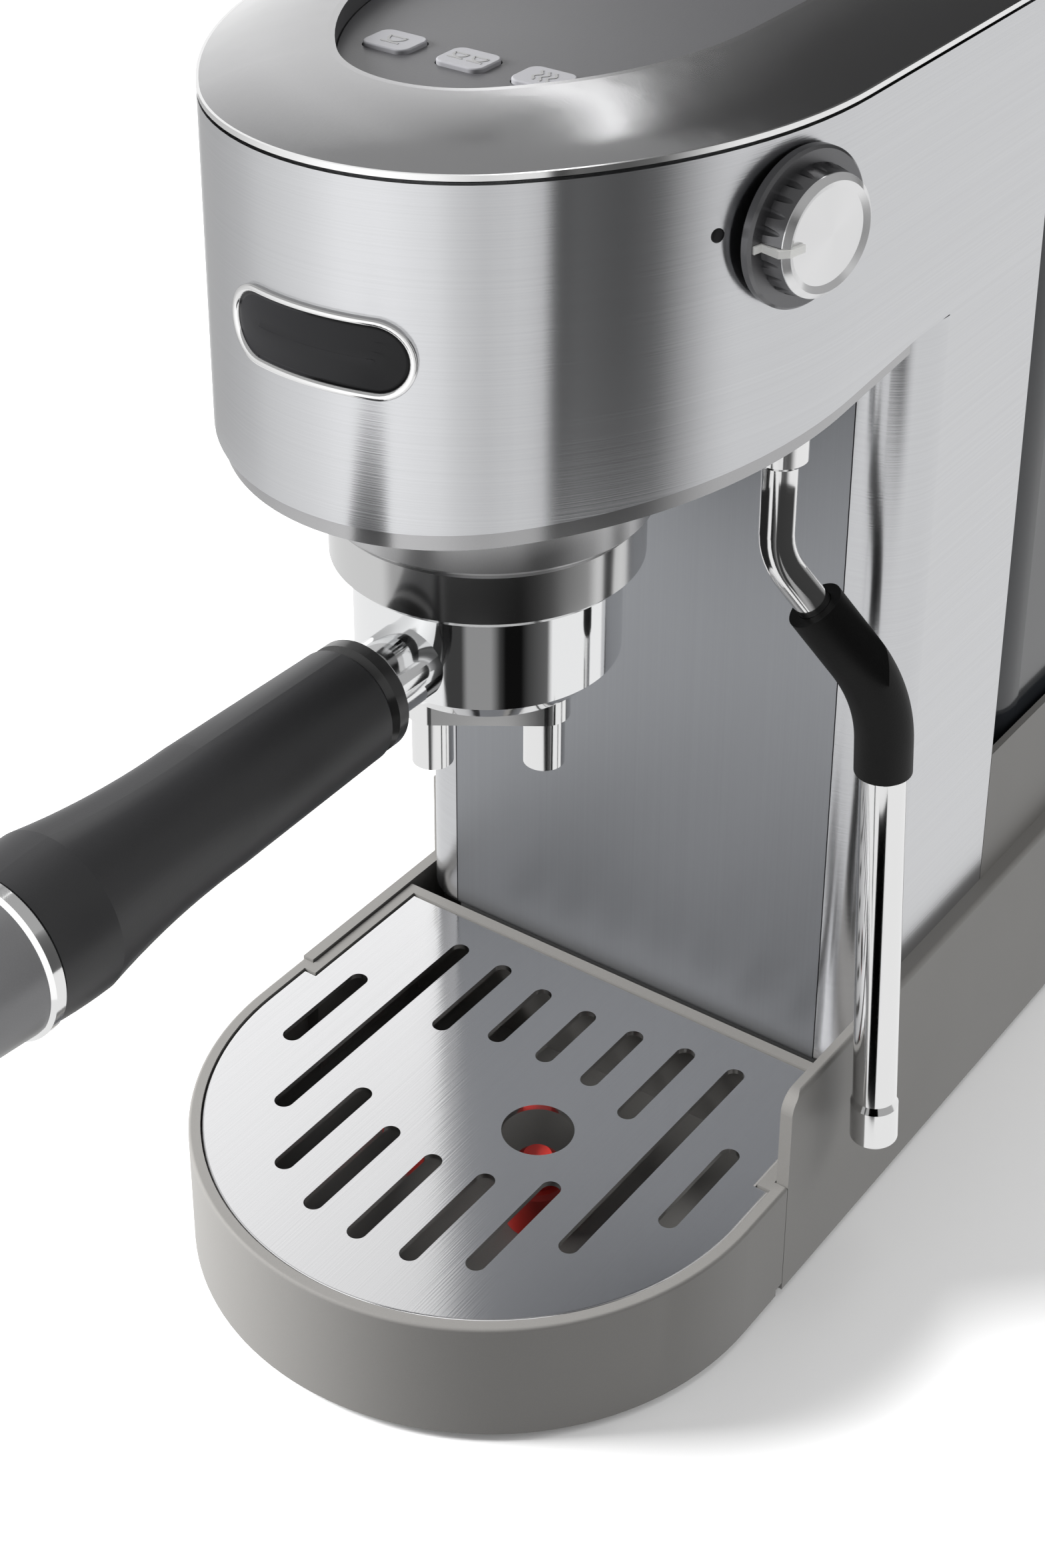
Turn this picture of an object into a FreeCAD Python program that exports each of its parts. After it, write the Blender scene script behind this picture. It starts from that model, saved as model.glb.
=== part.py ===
"""Pump espresso machine, as an assembly of separate pieces.

Frame: millimetres, +Z up, the front towards -Y, +X on the side of the steam knob.
The origin lies on the surface that the machine stands on, under the middle of its base.
"""

import FreeCAD
import Part
import math
import os

import Sketcher
from FreeCAD import Placement, Rotation, Vector

SIZES = {
    # Base and tray
    "base_width": 149.0,
    "base_depth": 300.0,
    "base_top": 61.0,
    "base_wall": 3.0,
    "base_rear_round": 22.0,
    "deck_thick": 3.0,
    "foot_height": 2.0,
    "foot_round": 8.0,
    "floor_thick": 2.0,
    "shoulder_thick": 3.2,
    "deck_round": 1.2,
    "shoulder_round": 5.0,
    "shoulder_cut": 0.7,
    "tray_seam": -57.5,
    "tray_rim": 34.5,
    "tray_wall": 3.0,
    "tray_floor": 2.0,
    "tray_ledge": 3.5,
    "tray_rise": 2.2,
    "grid_thick": 1.4,
    "grid_flange": 3.2,
    "grid_drop": 0.3,
    "slot_pitch": 14.3,
    "slot_width": 5.0,
    "float_round": 8.0,
    "float_stem": 5.5,
    "float_travel": 10.0,
    "float_hole_gap": 1.0,
    "float_tall": 17.0,
    "float_post": 2.4,
    # Column and casing
    "body_inset": 4.5,
    "body_rear": 45.0,
    "casing_wall": 1.5,
    "casing_top": 304.6,
    "casing_round": 14.0,
    "column_front": -14.0,
    "head_side_start": -43.3,
    "head_side_round": 110.0,
    "head_nose_round": 54.0,
    "nose_tip": 14.0,
    "head_low_front": 230.0,
    "head_low_rear": 241.0,
    "cover_inset": 1.8,
    "cover_drop": 4.5,
    "shelf_thick": 3.0,
    "frame_thick": 2.5,
    "rear_panel_thick": 2.5,
    # Top
    "trim_gap": 0.8,
    "trim_thick": 1.2,
    "trim_wide": 3.0,
    "bezel_deep": 10.6,
    "bezel_tall": 6.4,
    "bezel_wide": 28.0,
    "bezel_lip": 1.5,
    "bezel_rear_wide": 14.0,
    "plate_drop": 4.5,
    "plate_thick": 3.5,
    "button_wide": 12.0,
    "button_long": 10.0,
    "button_pitch": 18.5,
    "button_proud": 1.0,
    "button_travel": 1.0,
    "button_flange": 0.8,
    "button_row": -82.0,
    "board_thick": 1.6,
    # Steam knob, valve and wand
    "knob_row": -66.3,
    "knob_height": 285.2,
    "knob_round": 16.8,
    "knob_drum": 13.5,
    "knob_deep": 9.2,
    "knob_skirt": 3.4,
    "knob_dish": 0.7,
    "knob_flute": 1.1,
    "mark_wide": 1.6,
    "mark_start": 7.5,
    "shaft_round": 3.0,
    "wand_inset": 10.0,
    "wand_row": -54.0,
    "wand_plane": 37.0,
    "wand_bend": 202.0,
    "wand_slope": 36.0,
    "wand_slope_run": 43.9,
    "wand_low_slope": 2.4,
    "wand_low_run": 128.6,
    "wand_bend_round": 18.0,
    "wand_elbow_round": 40.0,
    "wand_tube": 8.0,
    "wand_grip": 13.2,
    "wand_grip_start": 15.5,
    "wand_grip_tail": 20.0,
    "wand_sleeve": 10.6,
    "wand_tip": 11.5,
    "wand_tip_long": 15.0,
    "nut_round": 6.0,
    # Group and portafilter
    "group_row": -76.0,
    "group_round": 37.0,
    "group_low": 208.0,
    "gasket_low": 215.5,
    "gasket_thick": 3.5,
    "lug_round": 34.3,
    "ledge_thick": 3.0,
    "ledge_turn": 50.0,
    "lug_turn": 36.0,
    "rim_round": 35.0,
    "rim_low": 194.0,
    "bowl_round": 30.0,
    "bowl_low": 166.0,
    "bowl_wall": 3.0,
    "basket_tall": 25.0,
    "spout_across": 25.5,
    "spout_low": 138.0,
    "spout_round": 4.8,
    "spout_turn": 35.0,
    "arm_tall": 9.0,
    "hub_tall": 6.0,
    "neck_round": 9.0,
    "handle_height": 179.5,
    "handle_start": 44.0,
    "handle_long": 136.0,
    "handle_front_round": 12.8,
    "handle_rear_round": 17.4,
    "flange_thick": 6.0,
    "ring_thick": 4.0,
    "cap_long": 24.0,
    # Tank and inside
    "tank_inset": 4.0,
    "tank_front": 47.0,
    "tank_rear": 146.3,
    "tank_top": 296.0,
    "surround_high": 100.0,
    "surround_wall": 1.8,
    "tank_wall": 2.5,
    "tank_round": 20.0,
    "lid_thick": 3.7,
    "pin_round": 1.2,
    "knuckle_round": 3.0,
    "outlet_row": 72.0,
    "outlet_round": 6.7,
    "pump_across": -30.0,
    "pump_row": 22.0,
    "pump_round": 19.0,
    "pump_tall": 46.0,
    "mount_thick": 8.0,
    "block_tall": 32.0,
    "hose_round": 3.5,
    "hose_bend": 18.0,
    "board_width": 49.0,
    "board_height": 90.0,
    "board_inset": 5.0,
    "board_stud": 5.0,
    "neck_long": 8.0,
    "coil_neck": 42.0,
    "sheet_gap": 0.3,
    "slide_gap": 0.2,
    "fit_gap": 0.08,
}

doc = FreeCAD.newDocument("EspressoMachine")
sheet = doc.addObject("Spreadsheet::Sheet", "Sizes")
for line, (alias, amount) in enumerate(SIZES.items(), start=1):
    sheet.set(f"A{line}", alias)
    sheet.set(f"B{line}", str(amount))
    sheet.setAlias(f"B{line}", alias)
doc.recompute()


class Size:
    """A number together with the formula on the sheet that gives it."""

    def __init__(self, value, text=None):
        self.value = float(value)
        self.text = text or repr(self.value)

    def __add__(self, other):
        other = size(other)
        return Size(self.value + other.value, f"({self.text} + {other.text})")

    def __radd__(self, other):
        return size(other) + self

    def __sub__(self, other):
        other = size(other)
        return Size(self.value - other.value, f"({self.text} - {other.text})")

    def __rsub__(self, other):
        return size(other) - self

    def __mul__(self, other):
        other = size(other)
        return Size(self.value * other.value, f"({self.text} * {other.text})")

    def __rmul__(self, other):
        return size(other) * self

    def __truediv__(self, other):
        other = size(other)
        return Size(self.value / other.value, f"({self.text} / {other.text})")

    def __neg__(self):
        return 0 - self


class Sheet:
    """Gives each named size of the sheet as a Size."""

    def __getattr__(self, alias):
        return Size(getattr(sheet, alias), f"Sizes.{alias}")


def size(value):
    """Turn a plain number into a Size."""
    return value if isinstance(value, Size) else Size(value)


def root(value):
    """Square root of a Size."""
    return Size(math.sqrt(value.value), f"sqrt({value.text})")


def sine(angle):
    """Sine of a Size in degrees."""
    return Size(math.sin(math.radians(angle.value)), f"sin({angle.text})")


def cosine(angle):
    """Cosine of a Size in degrees."""
    return Size(math.cos(math.radians(angle.value)), f"cos({angle.text})")


def tangent(angle):
    """Tangent of a Size in degrees."""
    return Size(math.tan(math.radians(angle.value)), f"tan({angle.text})")


S = Sheet()
SOLIDS = []


def body(label, at=(0, 0, 0), turn=None):
    """Start a piece whose own frame stands at a point, turned by a Rotation."""
    made = doc.addObject("PartDesign::Body", label)
    made.Label = label
    base = [size(value) for value in at]
    made.Placement = Placement(Vector(*[value.value for value in base]), turn or Rotation())
    for axis, value in zip("xyz", base):
        made.setExpression(f".Placement.Base.{axis}", value.text)
    SOLIDS.append(made)
    return made


def sketch(owner, name, plane, offset=0):
    """Start a sketch on one of a body's own planes, moved along the plane's normal."""
    made = owner.newObject("Sketcher::SketchObject", f"{owner.Name}_{name}")
    role = f"{plane}_Plane"
    support = [part for part in owner.Origin.OriginFeatures if part.Role == role][0]
    made.AttachmentSupport = [(support, "")]
    made.MapMode = "FlatFace"
    offset = size(offset)
    made.AttachmentOffset = Placement(Vector(0, 0, offset.value), Rotation())
    made.setExpression(".AttachmentOffset.Base.z", offset.text)
    return made


def hold(made, held):
    """Add constraints, and bind those that carry a Size to the sheet."""
    for kind, where, value in held:
        if value is None:
            made.addConstraint(Sketcher.Constraint(kind, *where))
            continue
        number = made.addConstraint(Sketcher.Constraint(kind, *where, value.value))
        if "Sizes" in value.text:
            made.setExpression(f"Constraints[{number}]", value.text)


def pin_point(held, geometry, end, point):
    """Hold a point of the sketch at its two coordinates."""
    for kind, axis, value in (("DistanceX", -2, size(point[0])), ("DistanceY", -1, size(point[1]))):
        if value.text in ("0.0", "0"):
            held.append(("PointOnObject", (geometry, end, axis), None))
        else:
            held.append((kind, (-1, 1, geometry, end), value))


def wire(made, points, arcs=None, closed=True):
    """Draw lines and arcs through points, each point held by its coordinates.

    arcs maps the number of an edge, counted from its first point, to (radius, side). The side
    is 1 where the arc bulges to the left of the way it runs, and -1 where it bulges right.
    """
    arcs = arcs or {}
    count = len(points)
    total = count if closed else count - 1
    first = made.GeometryCount
    spots = [Vector(size(x).value, size(y).value, 0) for x, y in points]
    ends = []
    held = []
    for number in range(total):
        start = spots[number]
        end = spots[(number + 1) % count]
        if number not in arcs:
            made.addGeometry(Part.LineSegment(start, end))
            ends.append((1, 2))
            continue
        radius, side = arcs[number]
        radius = size(radius)
        chord = end - start
        half = chord.Length / 2
        reach = math.sqrt(max(radius.value**2 - half**2, 0))
        left = Vector(-chord.y, chord.x, 0).normalize()
        centre = (start + end) / 2 - left * (reach * side)
        low, high = (end, start) if side > 0 else (start, end)
        angles = [math.atan2(spot.y - centre.y, spot.x - centre.x) for spot in (low, high)]
        circle_shape = Part.Circle(centre, Vector(0, 0, 1), radius.value)
        made.addGeometry(Part.ArcOfCircle(circle_shape, *angles))
        ends.append((2, 1) if side > 0 else (1, 2))
        held.append(("Radius", (first + number,), radius))
    for number in range(total):
        pin_point(held, first + number, ends[number][0], points[number])
        if closed or number + 1 < total:
            after = (number + 1) % total
            where = (first + number, ends[number][1], first + after, ends[after][0])
            held.append(("Coincident", where, None))
    if not closed:
        pin_point(held, first + total - 1, ends[-1][1], points[-1])
    hold(made, held)
    return made


def rectangle(made, x0, y0, x1, y1):
    """Draw a rectangle between two corners."""
    return wire(made, [(x0, y0), (x1, y0), (x1, y1), (x0, y1)])


def rounded(made, x0, y0, x1, y1, radius):
    """Draw a rectangle with its four corners rounded."""
    points = [
        (x0 + radius, y0), (x1 - radius, y0), (x1, y0 + radius), (x1, y1 - radius),
        (x1 - radius, y1), (x0 + radius, y1), (x0, y1 - radius), (x0, y0 + radius),
    ]
    return wire(made, points, {number: (radius, -1) for number in (1, 3, 5, 7)})


def circle(made, x, y, radius):
    """Draw a circle."""
    radius = size(radius)
    spot = Vector(size(x).value, size(y).value, 0)
    number = made.addGeometry(Part.Circle(spot, Vector(0, 0, 1), radius.value))
    held = [("Radius", (number,), radius)]
    pin_point(held, number, 3, (x, y))
    hold(made, held)
    return made


def slot(made, x, low, high, width):
    """Draw a slot along the sketch's second axis, with round ends."""
    radius = width / 2
    across = size(x)
    low_spot = Vector(across.value, (low + radius).value, 0)
    high_spot = Vector(across.value, (high - radius).value, 0)
    side = Vector(radius.value, 0, 0)
    first = made.addGeometry(
        [
            Part.ArcOfCircle(Part.Circle(low_spot, Vector(0, 0, 1), radius.value), math.pi, 0),
            Part.LineSegment(low_spot + side, high_spot + side),
            Part.ArcOfCircle(Part.Circle(high_spot, Vector(0, 0, 1), radius.value), 0, math.pi),
            Part.LineSegment(high_spot - side, low_spot - side),
        ]
    )[0]
    held = [
        ("Tangent", (first, 2, first + 1, 1), None),
        ("Tangent", (first + 1, 2, first + 2, 1), None),
        ("Tangent", (first + 2, 2, first + 3, 1), None),
        ("Tangent", (first + 3, 2, first, 1), None),
        ("Radius", (first,), radius),
    ]
    pin_point(held, first, 3, (across, low + radius))
    held.append(("DistanceY", (-1, 1, first + 2, 3), high - radius))
    hold(made, held)
    return made


def feature(owner, kind, name, profile, **links):
    """Add one feature of a body that is made from a sketch."""
    made = owner.newObject(f"PartDesign::{kind}", f"{owner.Name}_{name}")
    made.Profile = profile
    for key, value in links.items():
        if isinstance(value, Size):
            setattr(made, key, value.value)
            made.setExpression(key, value.text)
        else:
            setattr(made, key, value)
    profile.Visibility = False
    return made


def pad(owner, profile, length, back=False, middle=False):
    """Add material from a sketch along its normal."""
    name = f"pad_{len(owner.Group)}"
    return feature(
        owner, "Pad", name, profile, Length=size(length), Reversed=back, Midplane=middle
    )


def pocket(owner, profile, length, back=False, middle=False):
    """Cut from a sketch against its normal, or along it where back is set."""
    name = f"pocket_{len(owner.Group)}"
    return feature(
        owner, "Pocket", name, profile, Length=size(length), Reversed=back, Midplane=middle
    )


def revolve(owner, profile, axis="V_Axis"):
    """Turn a sketch a full round about one of its own axes."""
    name = f"revolution_{len(owner.Group)}"
    return feature(
        owner, "Revolution", name, profile, ReferenceAxis=(profile, [axis]), Angle=360.0
    )


def pipe(owner, profile, route):
    """Run a profile along a route."""
    made = owner.newObject("PartDesign::AdditivePipe", f"{owner.Name}_pipe_{len(owner.Group)}")
    made.Profile = profile
    made.Spine = route
    route.Visibility = False
    profile.Visibility = False
    return made


def loft(owner, profiles):
    """Run a skin through several profiles."""
    made = owner.newObject("PartDesign::AdditiveLoft", f"{owner.Name}_loft_{len(owner.Group)}")
    made.Profile = profiles[0]
    made.Sections = profiles[1:]
    for profile in profiles:
        profile.Visibility = False
    return made


def around(owner, original, copies, about="Z"):
    """Repeat a feature evenly about one of the body's own axes."""
    made = owner.newObject("PartDesign::PolarPattern", f"{owner.Name}_ring_{len(owner.Group)}")
    made.Originals = [original]
    axis = [part for part in owner.Origin.OriginFeatures if part.Role == f"{about}_Axis"][0]
    made.Axis = (axis, [""])
    made.Angle = 360.0
    made.Occurrences = copies
    owner.Tip = made
    return made


def mirrored(owner, originals):
    """Repeat features on the other side of the body's own YZ plane."""
    made = owner.newObject("PartDesign::Mirrored", f"{owner.Name}_mirror_{len(owner.Group)}")
    made.Originals = originals
    plane = [part for part in owner.Origin.OriginFeatures if part.Role == "YZ_Plane"][0]
    made.MirrorPlane = (plane, [""])
    owner.Tip = made
    return made


def dress(owner, kind, amount, wanted):
    """Round or bevel the edges of a body that pass a test."""
    doc.recompute()
    base = owner.Tip
    names = [
        f"Edge{number}" for number, edge in enumerate(base.Shape.Edges, start=1) if wanted(edge)
    ]
    if not names:
        raise ValueError(f"no edge to {kind} on {owner.Label}")
    made = owner.newObject(f"PartDesign::{kind}", f"{owner.Name}_{kind}_{len(owner.Group)}")
    made.Base = (base, names)
    key = "Radius" if kind == "Fillet" else "Size"
    setattr(made, key, size(amount).value)
    made.setExpression(key, size(amount).text)
    return made


NEAR = 0.01


def edge_at(z):
    """Test for edges that lie flat at a height."""
    level = size(z).value

    def wanted(edge):
        box = edge.BoundBox
        return abs(box.ZMin - level) < NEAR and abs(box.ZMax - level) < NEAR

    return wanted


# Values that several pieces share
half_base = S.base_width / 2
base_front = -S.base_depth / 2
base_rear = S.base_depth / 2
half_body = half_base - S.body_inset
wand_across = half_body - S.wand_inset
tray_centre = base_front + half_base
floor_top = S.foot_height + S.floor_thick
bay_half = half_base - S.shoulder_thick
bay_rear = S.column_front + S.casing_round + S.sheet_gap
shelf_low = S.head_low_rear
shelf_top = shelf_low + S.shelf_thick
plate_front = half_body - S.casing_round
frame_front = S.column_front + S.casing_wall + S.slide_gap
frame_rear = frame_front + S.frame_thick
grid_top = S.tray_rim - S.grid_drop
grid_low = grid_top - S.grid_thick - S.grid_flange
trim_low = S.casing_top + S.trim_gap
trim_high = trim_low + S.trim_thick
bezel_low = S.casing_top - S.bezel_deep
bezel_top = trim_high + S.bezel_tall
plate_top = bezel_top - S.plate_drop
nose_front = base_front + S.nose_tip


def head_outline(made, inset, rear):
    """Draw the plan of the head: straight sides, two long arcs and a round nose."""
    half = half_body - inset
    side = S.head_side_round - inset
    nose = S.head_nose_round - inset
    lean = S.head_side_round - half_body
    reach = S.head_side_round - S.head_nose_round
    nose_row = S.head_side_start - root(reach * reach - lean * lean)
    join_x = nose * lean / reach
    join_y = nose_row + nose * (nose_row - S.head_side_start) / reach
    tip = nose_row - nose
    points = [
        (-half, rear), (-half, S.head_side_start), (-join_x, join_y), (0, tip),
        (join_x, join_y), (half, S.head_side_start), (half, rear),
    ]
    arcs = {1: (side, -1), 2: (nose, -1), 3: (nose, -1), 4: (side, -1)}
    return wire(made, points, arcs)


def tray_outline(made, inset, rear_inset=None):
    """Draw the plan of the tray: a half round front and a narrower tongue behind it."""
    rear_inset = inset if rear_inset is None else rear_inset
    outer = half_base - inset
    inner = bay_half - S.slide_gap * 2 - inset
    step = S.tray_seam - S.slide_gap - inset
    rear = S.column_front - 1 - rear_inset
    points = [
        (-outer, tray_centre), (0, tray_centre - outer), (outer, tray_centre), (outer, step),
        (inner, step), (inner, rear), (-inner, rear), (-inner, step), (-outer, step),
    ]
    return wire(made, points, {0: (outer, -1), 1: (outer, -1)})


# Base housing: rear box with shoulders that reach forward beside the tray
base = body("base_housing")
plan = sketch(base, "plan", "XY", S.foot_height)
points = [
    (-half_base, S.tray_seam), (half_base, S.tray_seam),
    (half_base, base_rear - S.base_rear_round), (half_base - S.base_rear_round, base_rear),
    (-half_base + S.base_rear_round, base_rear), (-half_base, base_rear - S.base_rear_round),
]
wire(plan, points, {2: (S.base_rear_round, -1), 4: (S.base_rear_round, -1)})
base_tall = S.base_top - S.foot_height
pad(base, plan, base_tall)
bay = sketch(base, "bay", "XY", S.foot_height)
rectangle(bay, -bay_half, S.tray_seam - 1, bay_half, bay_rear)
pocket(base, bay, base_tall, back=True)
hollow = sketch(base, "hollow", "XY", S.foot_height)
inner_half = half_base - S.base_wall
inner_rear = base_rear - S.base_wall
inner_round = S.base_rear_round - S.base_wall
points = [
    (-inner_half, bay_rear + S.base_wall), (inner_half, bay_rear + S.base_wall),
    (inner_half, inner_rear - inner_round), (inner_half - inner_round, inner_rear),
    (-inner_half + inner_round, inner_rear), (-inner_half, inner_rear - inner_round),
]
wire(hollow, points, {2: (inner_round, -1), 4: (inner_round, -1)})
pocket(base, hollow, base_tall - S.deck_thick, back=True)
door = sketch(base, "door", "XY", S.foot_height)
door_half = inner_half - S.casing_round
rectangle(door, -door_half, bay_rear - 1, door_half, bay_rear + S.base_wall + 1)
pocket(base, door, base_tall - S.deck_thick, back=True)
ports = sketch(base, "ports", "XY", S.base_top)
circle(ports, 0, S.outlet_row, S.outlet_round * 2 + S.sheet_gap)
circle(ports, S.pump_across, S.pump_row, S.hose_round * 2)
pocket(base, ports, S.deck_thick)
gland_height = (S.base_top + S.foot_height) / 2
gland_across = S.base_width / 4
gland_hole = sketch(base, "gland", "XZ", -base_rear)
circle(gland_hole, -gland_across, gland_height, S.hose_round * 2)
pocket(base, gland_hole, S.base_wall, back=True)


def outer_deck_edge(edge):
    """Test for the deck's edges along both sides and round the rear."""
    box = edge.BoundBox
    along_side = max(abs(box.XMin), abs(box.XMax)) > half_base.value - NEAR
    along_rear = box.YMax > base_rear.value - NEAR
    return box.ZMin > S.base_top.value - NEAR and (
        along_rear or along_side and box.YLength > S.base_rear_round.value
    )


dress(base, "Fillet", S.deck_round, outer_deck_edge)
corner = sketch(base, "corner", "YZ")
corner_rear = S.tray_seam + S.shoulder_round
above = S.base_top + S.shoulder_round
points = [
    (S.tray_seam - 1, above), (corner_rear, above), (corner_rear, S.base_top),
    (S.tray_seam, S.base_top - S.shoulder_round), (S.tray_seam - 1, S.base_top - S.shoulder_round),
]
wire(corner, points, {2: (S.shoulder_round, -1)})
pocket(base, corner, S.base_width, back=True)
lowered = sketch(base, "lowered", "YZ")
rectangle(lowered, S.tray_seam - 1, S.tray_rim + S.shoulder_cut, bay_rear, above)
pocket(base, lowered, S.base_width)

# Floor that closes the base from below and runs on under the tray's tongue
floor = body("base_floor")
plan = sketch(floor, "plan", "XY", S.foot_height)
floor_gap = S.sheet_gap
front_half = bay_half - floor_gap
rear_half = inner_half - floor_gap
rear_round = inner_round - floor_gap
rear_row = inner_rear - floor_gap
points = [
    (-front_half, S.tray_seam), (front_half, S.tray_seam), (front_half, bay_rear - floor_gap),
    (door_half - floor_gap, bay_rear - floor_gap),
    (door_half - floor_gap, bay_rear + S.base_wall + floor_gap),
    (rear_half, bay_rear + S.base_wall + floor_gap),
    (rear_half, rear_row - rear_round), (rear_half - rear_round, rear_row),
    (-rear_half + rear_round, rear_row), (-rear_half, rear_row - rear_round),
    (-rear_half, bay_rear + S.base_wall + floor_gap),
    (-door_half + floor_gap, bay_rear + S.base_wall + floor_gap),
    (-door_half + floor_gap, bay_rear - floor_gap), (-front_half, bay_rear - floor_gap),
]
wire(plan, points, {6: (rear_round, -1), 8: (rear_round, -1)})
pad(floor, plan, S.floor_thick)

feet = body("rubber_feet")
plan = sketch(feet, "plan", "XY")
feet_across = half_base - S.base_rear_round
for x in (-feet_across, feet_across):
    for y in (base_rear - S.base_rear_round, S.tray_seam + S.foot_round * 2.5):
        circle(plan, x, y, S.foot_round)
feet.AllowCompound = True
pad(feet, plan, S.foot_height)

screws = body("base_screws")
plan = sketch(screws, "plan", "XY", S.foot_height / 2)
for x in (-feet_across, feet_across):
    for y in (base_rear - S.base_rear_round * 2, S.column_front + S.base_rear_round * 2):
        circle(plan, x, y, S.shaft_round)
screws.AllowCompound = True
pad(screws, plan, S.foot_height / 2)

gland = body("cord_gland", (-gland_across, base_rear, gland_height))
shank = S.hose_round * 2 - S.fit_gap
flange = S.hose_round * 3
gland_bore = S.hose_round
side = sketch(gland, "side", "YZ")
lip = S.foot_height
wire(side, [
    (-S.base_wall - lip, gland_bore), (-S.base_wall - lip, flange), (-S.base_wall, flange),
    (-S.base_wall, shank), (0, shank), (0, flange), (lip, flange - 1), (lip * 3, flange - 3),
    (lip * 3, gland_bore),
])
revolve(gland, side, "H_Axis")

# Drip tray: round front moulding with a tongue that runs back between the shoulders
tray = body("drip_tray")
plan = sketch(tray, "plan", "XY", S.tray_rise)
tray_outline(plan, Size(0), Size(0))
pad(tray, plan, S.tray_rim - S.tray_rise)
under = sketch(tray, "under", "XY", S.tray_rise)
tongue_low = floor_top + S.slide_gap
rectangle(under, -half_base - 1, S.tray_seam - S.tray_wall, half_base + 1, S.column_front)
pocket(tray, under, tongue_low - S.tray_rise, back=True)
mouth = sketch(tray, "mouth", "XY", S.tray_rim)
tray_outline(mouth, S.tray_wall)
pocket(tray, mouth, S.tray_rim - grid_low)
well = sketch(tray, "well", "XY", S.tray_rim)
tray_outline(well, S.tray_wall + S.tray_ledge)
well_floor = tongue_low + S.tray_floor
pocket(tray, well, S.tray_rim - well_floor)
post = sketch(tray, "post", "XY", well_floor)
float_across = S.slot_pitch
float_row = tray_centre
circle(post, float_across, float_row, S.float_post)
pad(tray, post, S.float_tall)
dress(tray, "Fillet", 0.8, lambda edge: (
    edge.BoundBox.ZMin > S.tray_rim.value - 0.01
    and (edge.BoundBox.YMin < base_front.value + 0.01)
))

tray_feet = body("tray_feet")
plan = sketch(tray_feet, "plan", "XY")
for x in (-half_base / 2, half_base / 2):
    circle(plan, x, tray_centre - half_base / 2, S.foot_round * 0.8)
tray_feet.AllowCompound = True
pad(tray_feet, plan, S.tray_rise)

grid = body("cup_grid")
plan = sketch(grid, "plan", "XY", grid_low)
grid_inset = S.tray_wall + S.sheet_gap
tray_outline(plan, grid_inset)
pad(grid, plan, grid_top - grid_low)
dress(grid, "Fillet", 0.6, edge_at(grid_top))
under = sketch(grid, "under", "XY", grid_low)
tray_outline(under, grid_inset + S.grid_thick)
pocket(grid, under, S.grid_flange, back=True)
cuts = sketch(grid, "middle_slots", "XY", grid_top)
slot(cuts, 0, Size(-131.0), Size(-97.0), S.slot_width)
slot(cuts, 0, Size(-54.5), Size(-31.0), S.slot_width)
pocket(grid, cuts, S.grid_thick)
cuts = sketch(grid, "side_slots", "XY", grid_top)
side_slots = (
    (1, -129.5, -95.0), (1, -55.3, -30.5), (2, -123.0, -88.0), (2, -60.0, -28.5),
    (3, -106.0, -28.0), (4, -85.5, -53.5),
)
for place, low, high in side_slots:
    slot(cuts, S.slot_pitch * place, Size(low), Size(high), S.slot_width)
side_cuts = pocket(grid, cuts, S.grid_thick)
mirrored(grid, [side_cuts])
eye = sketch(grid, "float_hole", "XY", grid_top)
circle(eye, float_across, float_row, S.float_round + S.float_hole_gap)
pocket(grid, eye, S.grid_thick)

bobber = body("tray_float", (float_across, float_row, 0))
half = sketch(bobber, "profile", "XZ")
float_low = well_floor + S.sheet_gap
float_high = float_low + S.float_tall + 3
float_bore = S.float_post + S.sheet_gap
float_step = grid_low - S.float_travel - S.slide_gap
wire(half, [
    (float_bore, float_low), (S.float_round, float_low), (S.float_round, float_step - 1),
    (S.float_round - 1, float_step), (S.float_stem, float_step), (S.float_stem, float_high - 2),
    (S.float_stem - 2, float_high), (0, float_high), (0, float_high - 2),
    (float_bore, float_high - 2),
])
revolve(bobber, half)

# Casing: one steel wrap round the head, its sides running down the column
casing = body("steel_casing")
plan = sketch(casing, "head_outer", "XY", S.head_low_front)
head_outline(plan, Size(0), S.body_rear)
pad(casing, plan, S.casing_top - S.head_low_front)
inside = sketch(casing, "head_inner", "XY", S.head_low_front)
head_outline(inside, S.casing_wall, S.body_rear + 1)
pocket(casing, inside, S.casing_top - S.head_low_front, back=True)
slant = sketch(casing, "slant", "YZ")
casing_bend = S.column_front + S.casing_round
wire(slant, [
    (base_front, S.head_low_front - 5), (casing_bend, S.head_low_front - 5),
    (casing_bend, S.head_low_rear), (S.column_front, S.head_low_rear),
    (nose_front, S.head_low_front), (base_front, S.head_low_front),
])
pocket(casing, slant, S.base_width * 2, middle=True)
sides = sketch(casing, "column", "XY", S.tray_rim + S.sheet_gap)
outer_round = S.casing_round
inner_round = outer_round - S.casing_wall
for side in (1, -1):
    wire(sides, [
        (side * plate_front, S.column_front), (side * half_body, S.column_front + outer_round),
        (side * half_body, S.body_rear), (side * (half_body - S.casing_wall), S.body_rear),
        (side * (half_body - S.casing_wall), S.column_front + outer_round),
        (side * plate_front, S.column_front + S.casing_wall),
    ], {0: (outer_round, -side), 4: (inner_round, side)})
casing.AllowCompound = True
pad(casing, sides, S.head_low_rear - S.tray_rim - S.sheet_gap * 2)
notch = sketch(casing, "notch", "YZ")
rectangle(
    notch, casing_bend, S.tray_rim - 5, S.body_rear + 5, S.base_top
)
pocket(casing, notch, S.base_width * 2, middle=True)
knob_hole = sketch(casing, "knob_hole", "YZ", half_body / 2)
circle(knob_hole, S.knob_row, S.knob_height, S.shaft_round + 2)
pocket(casing, knob_hole, half_body, back=True)

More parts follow.
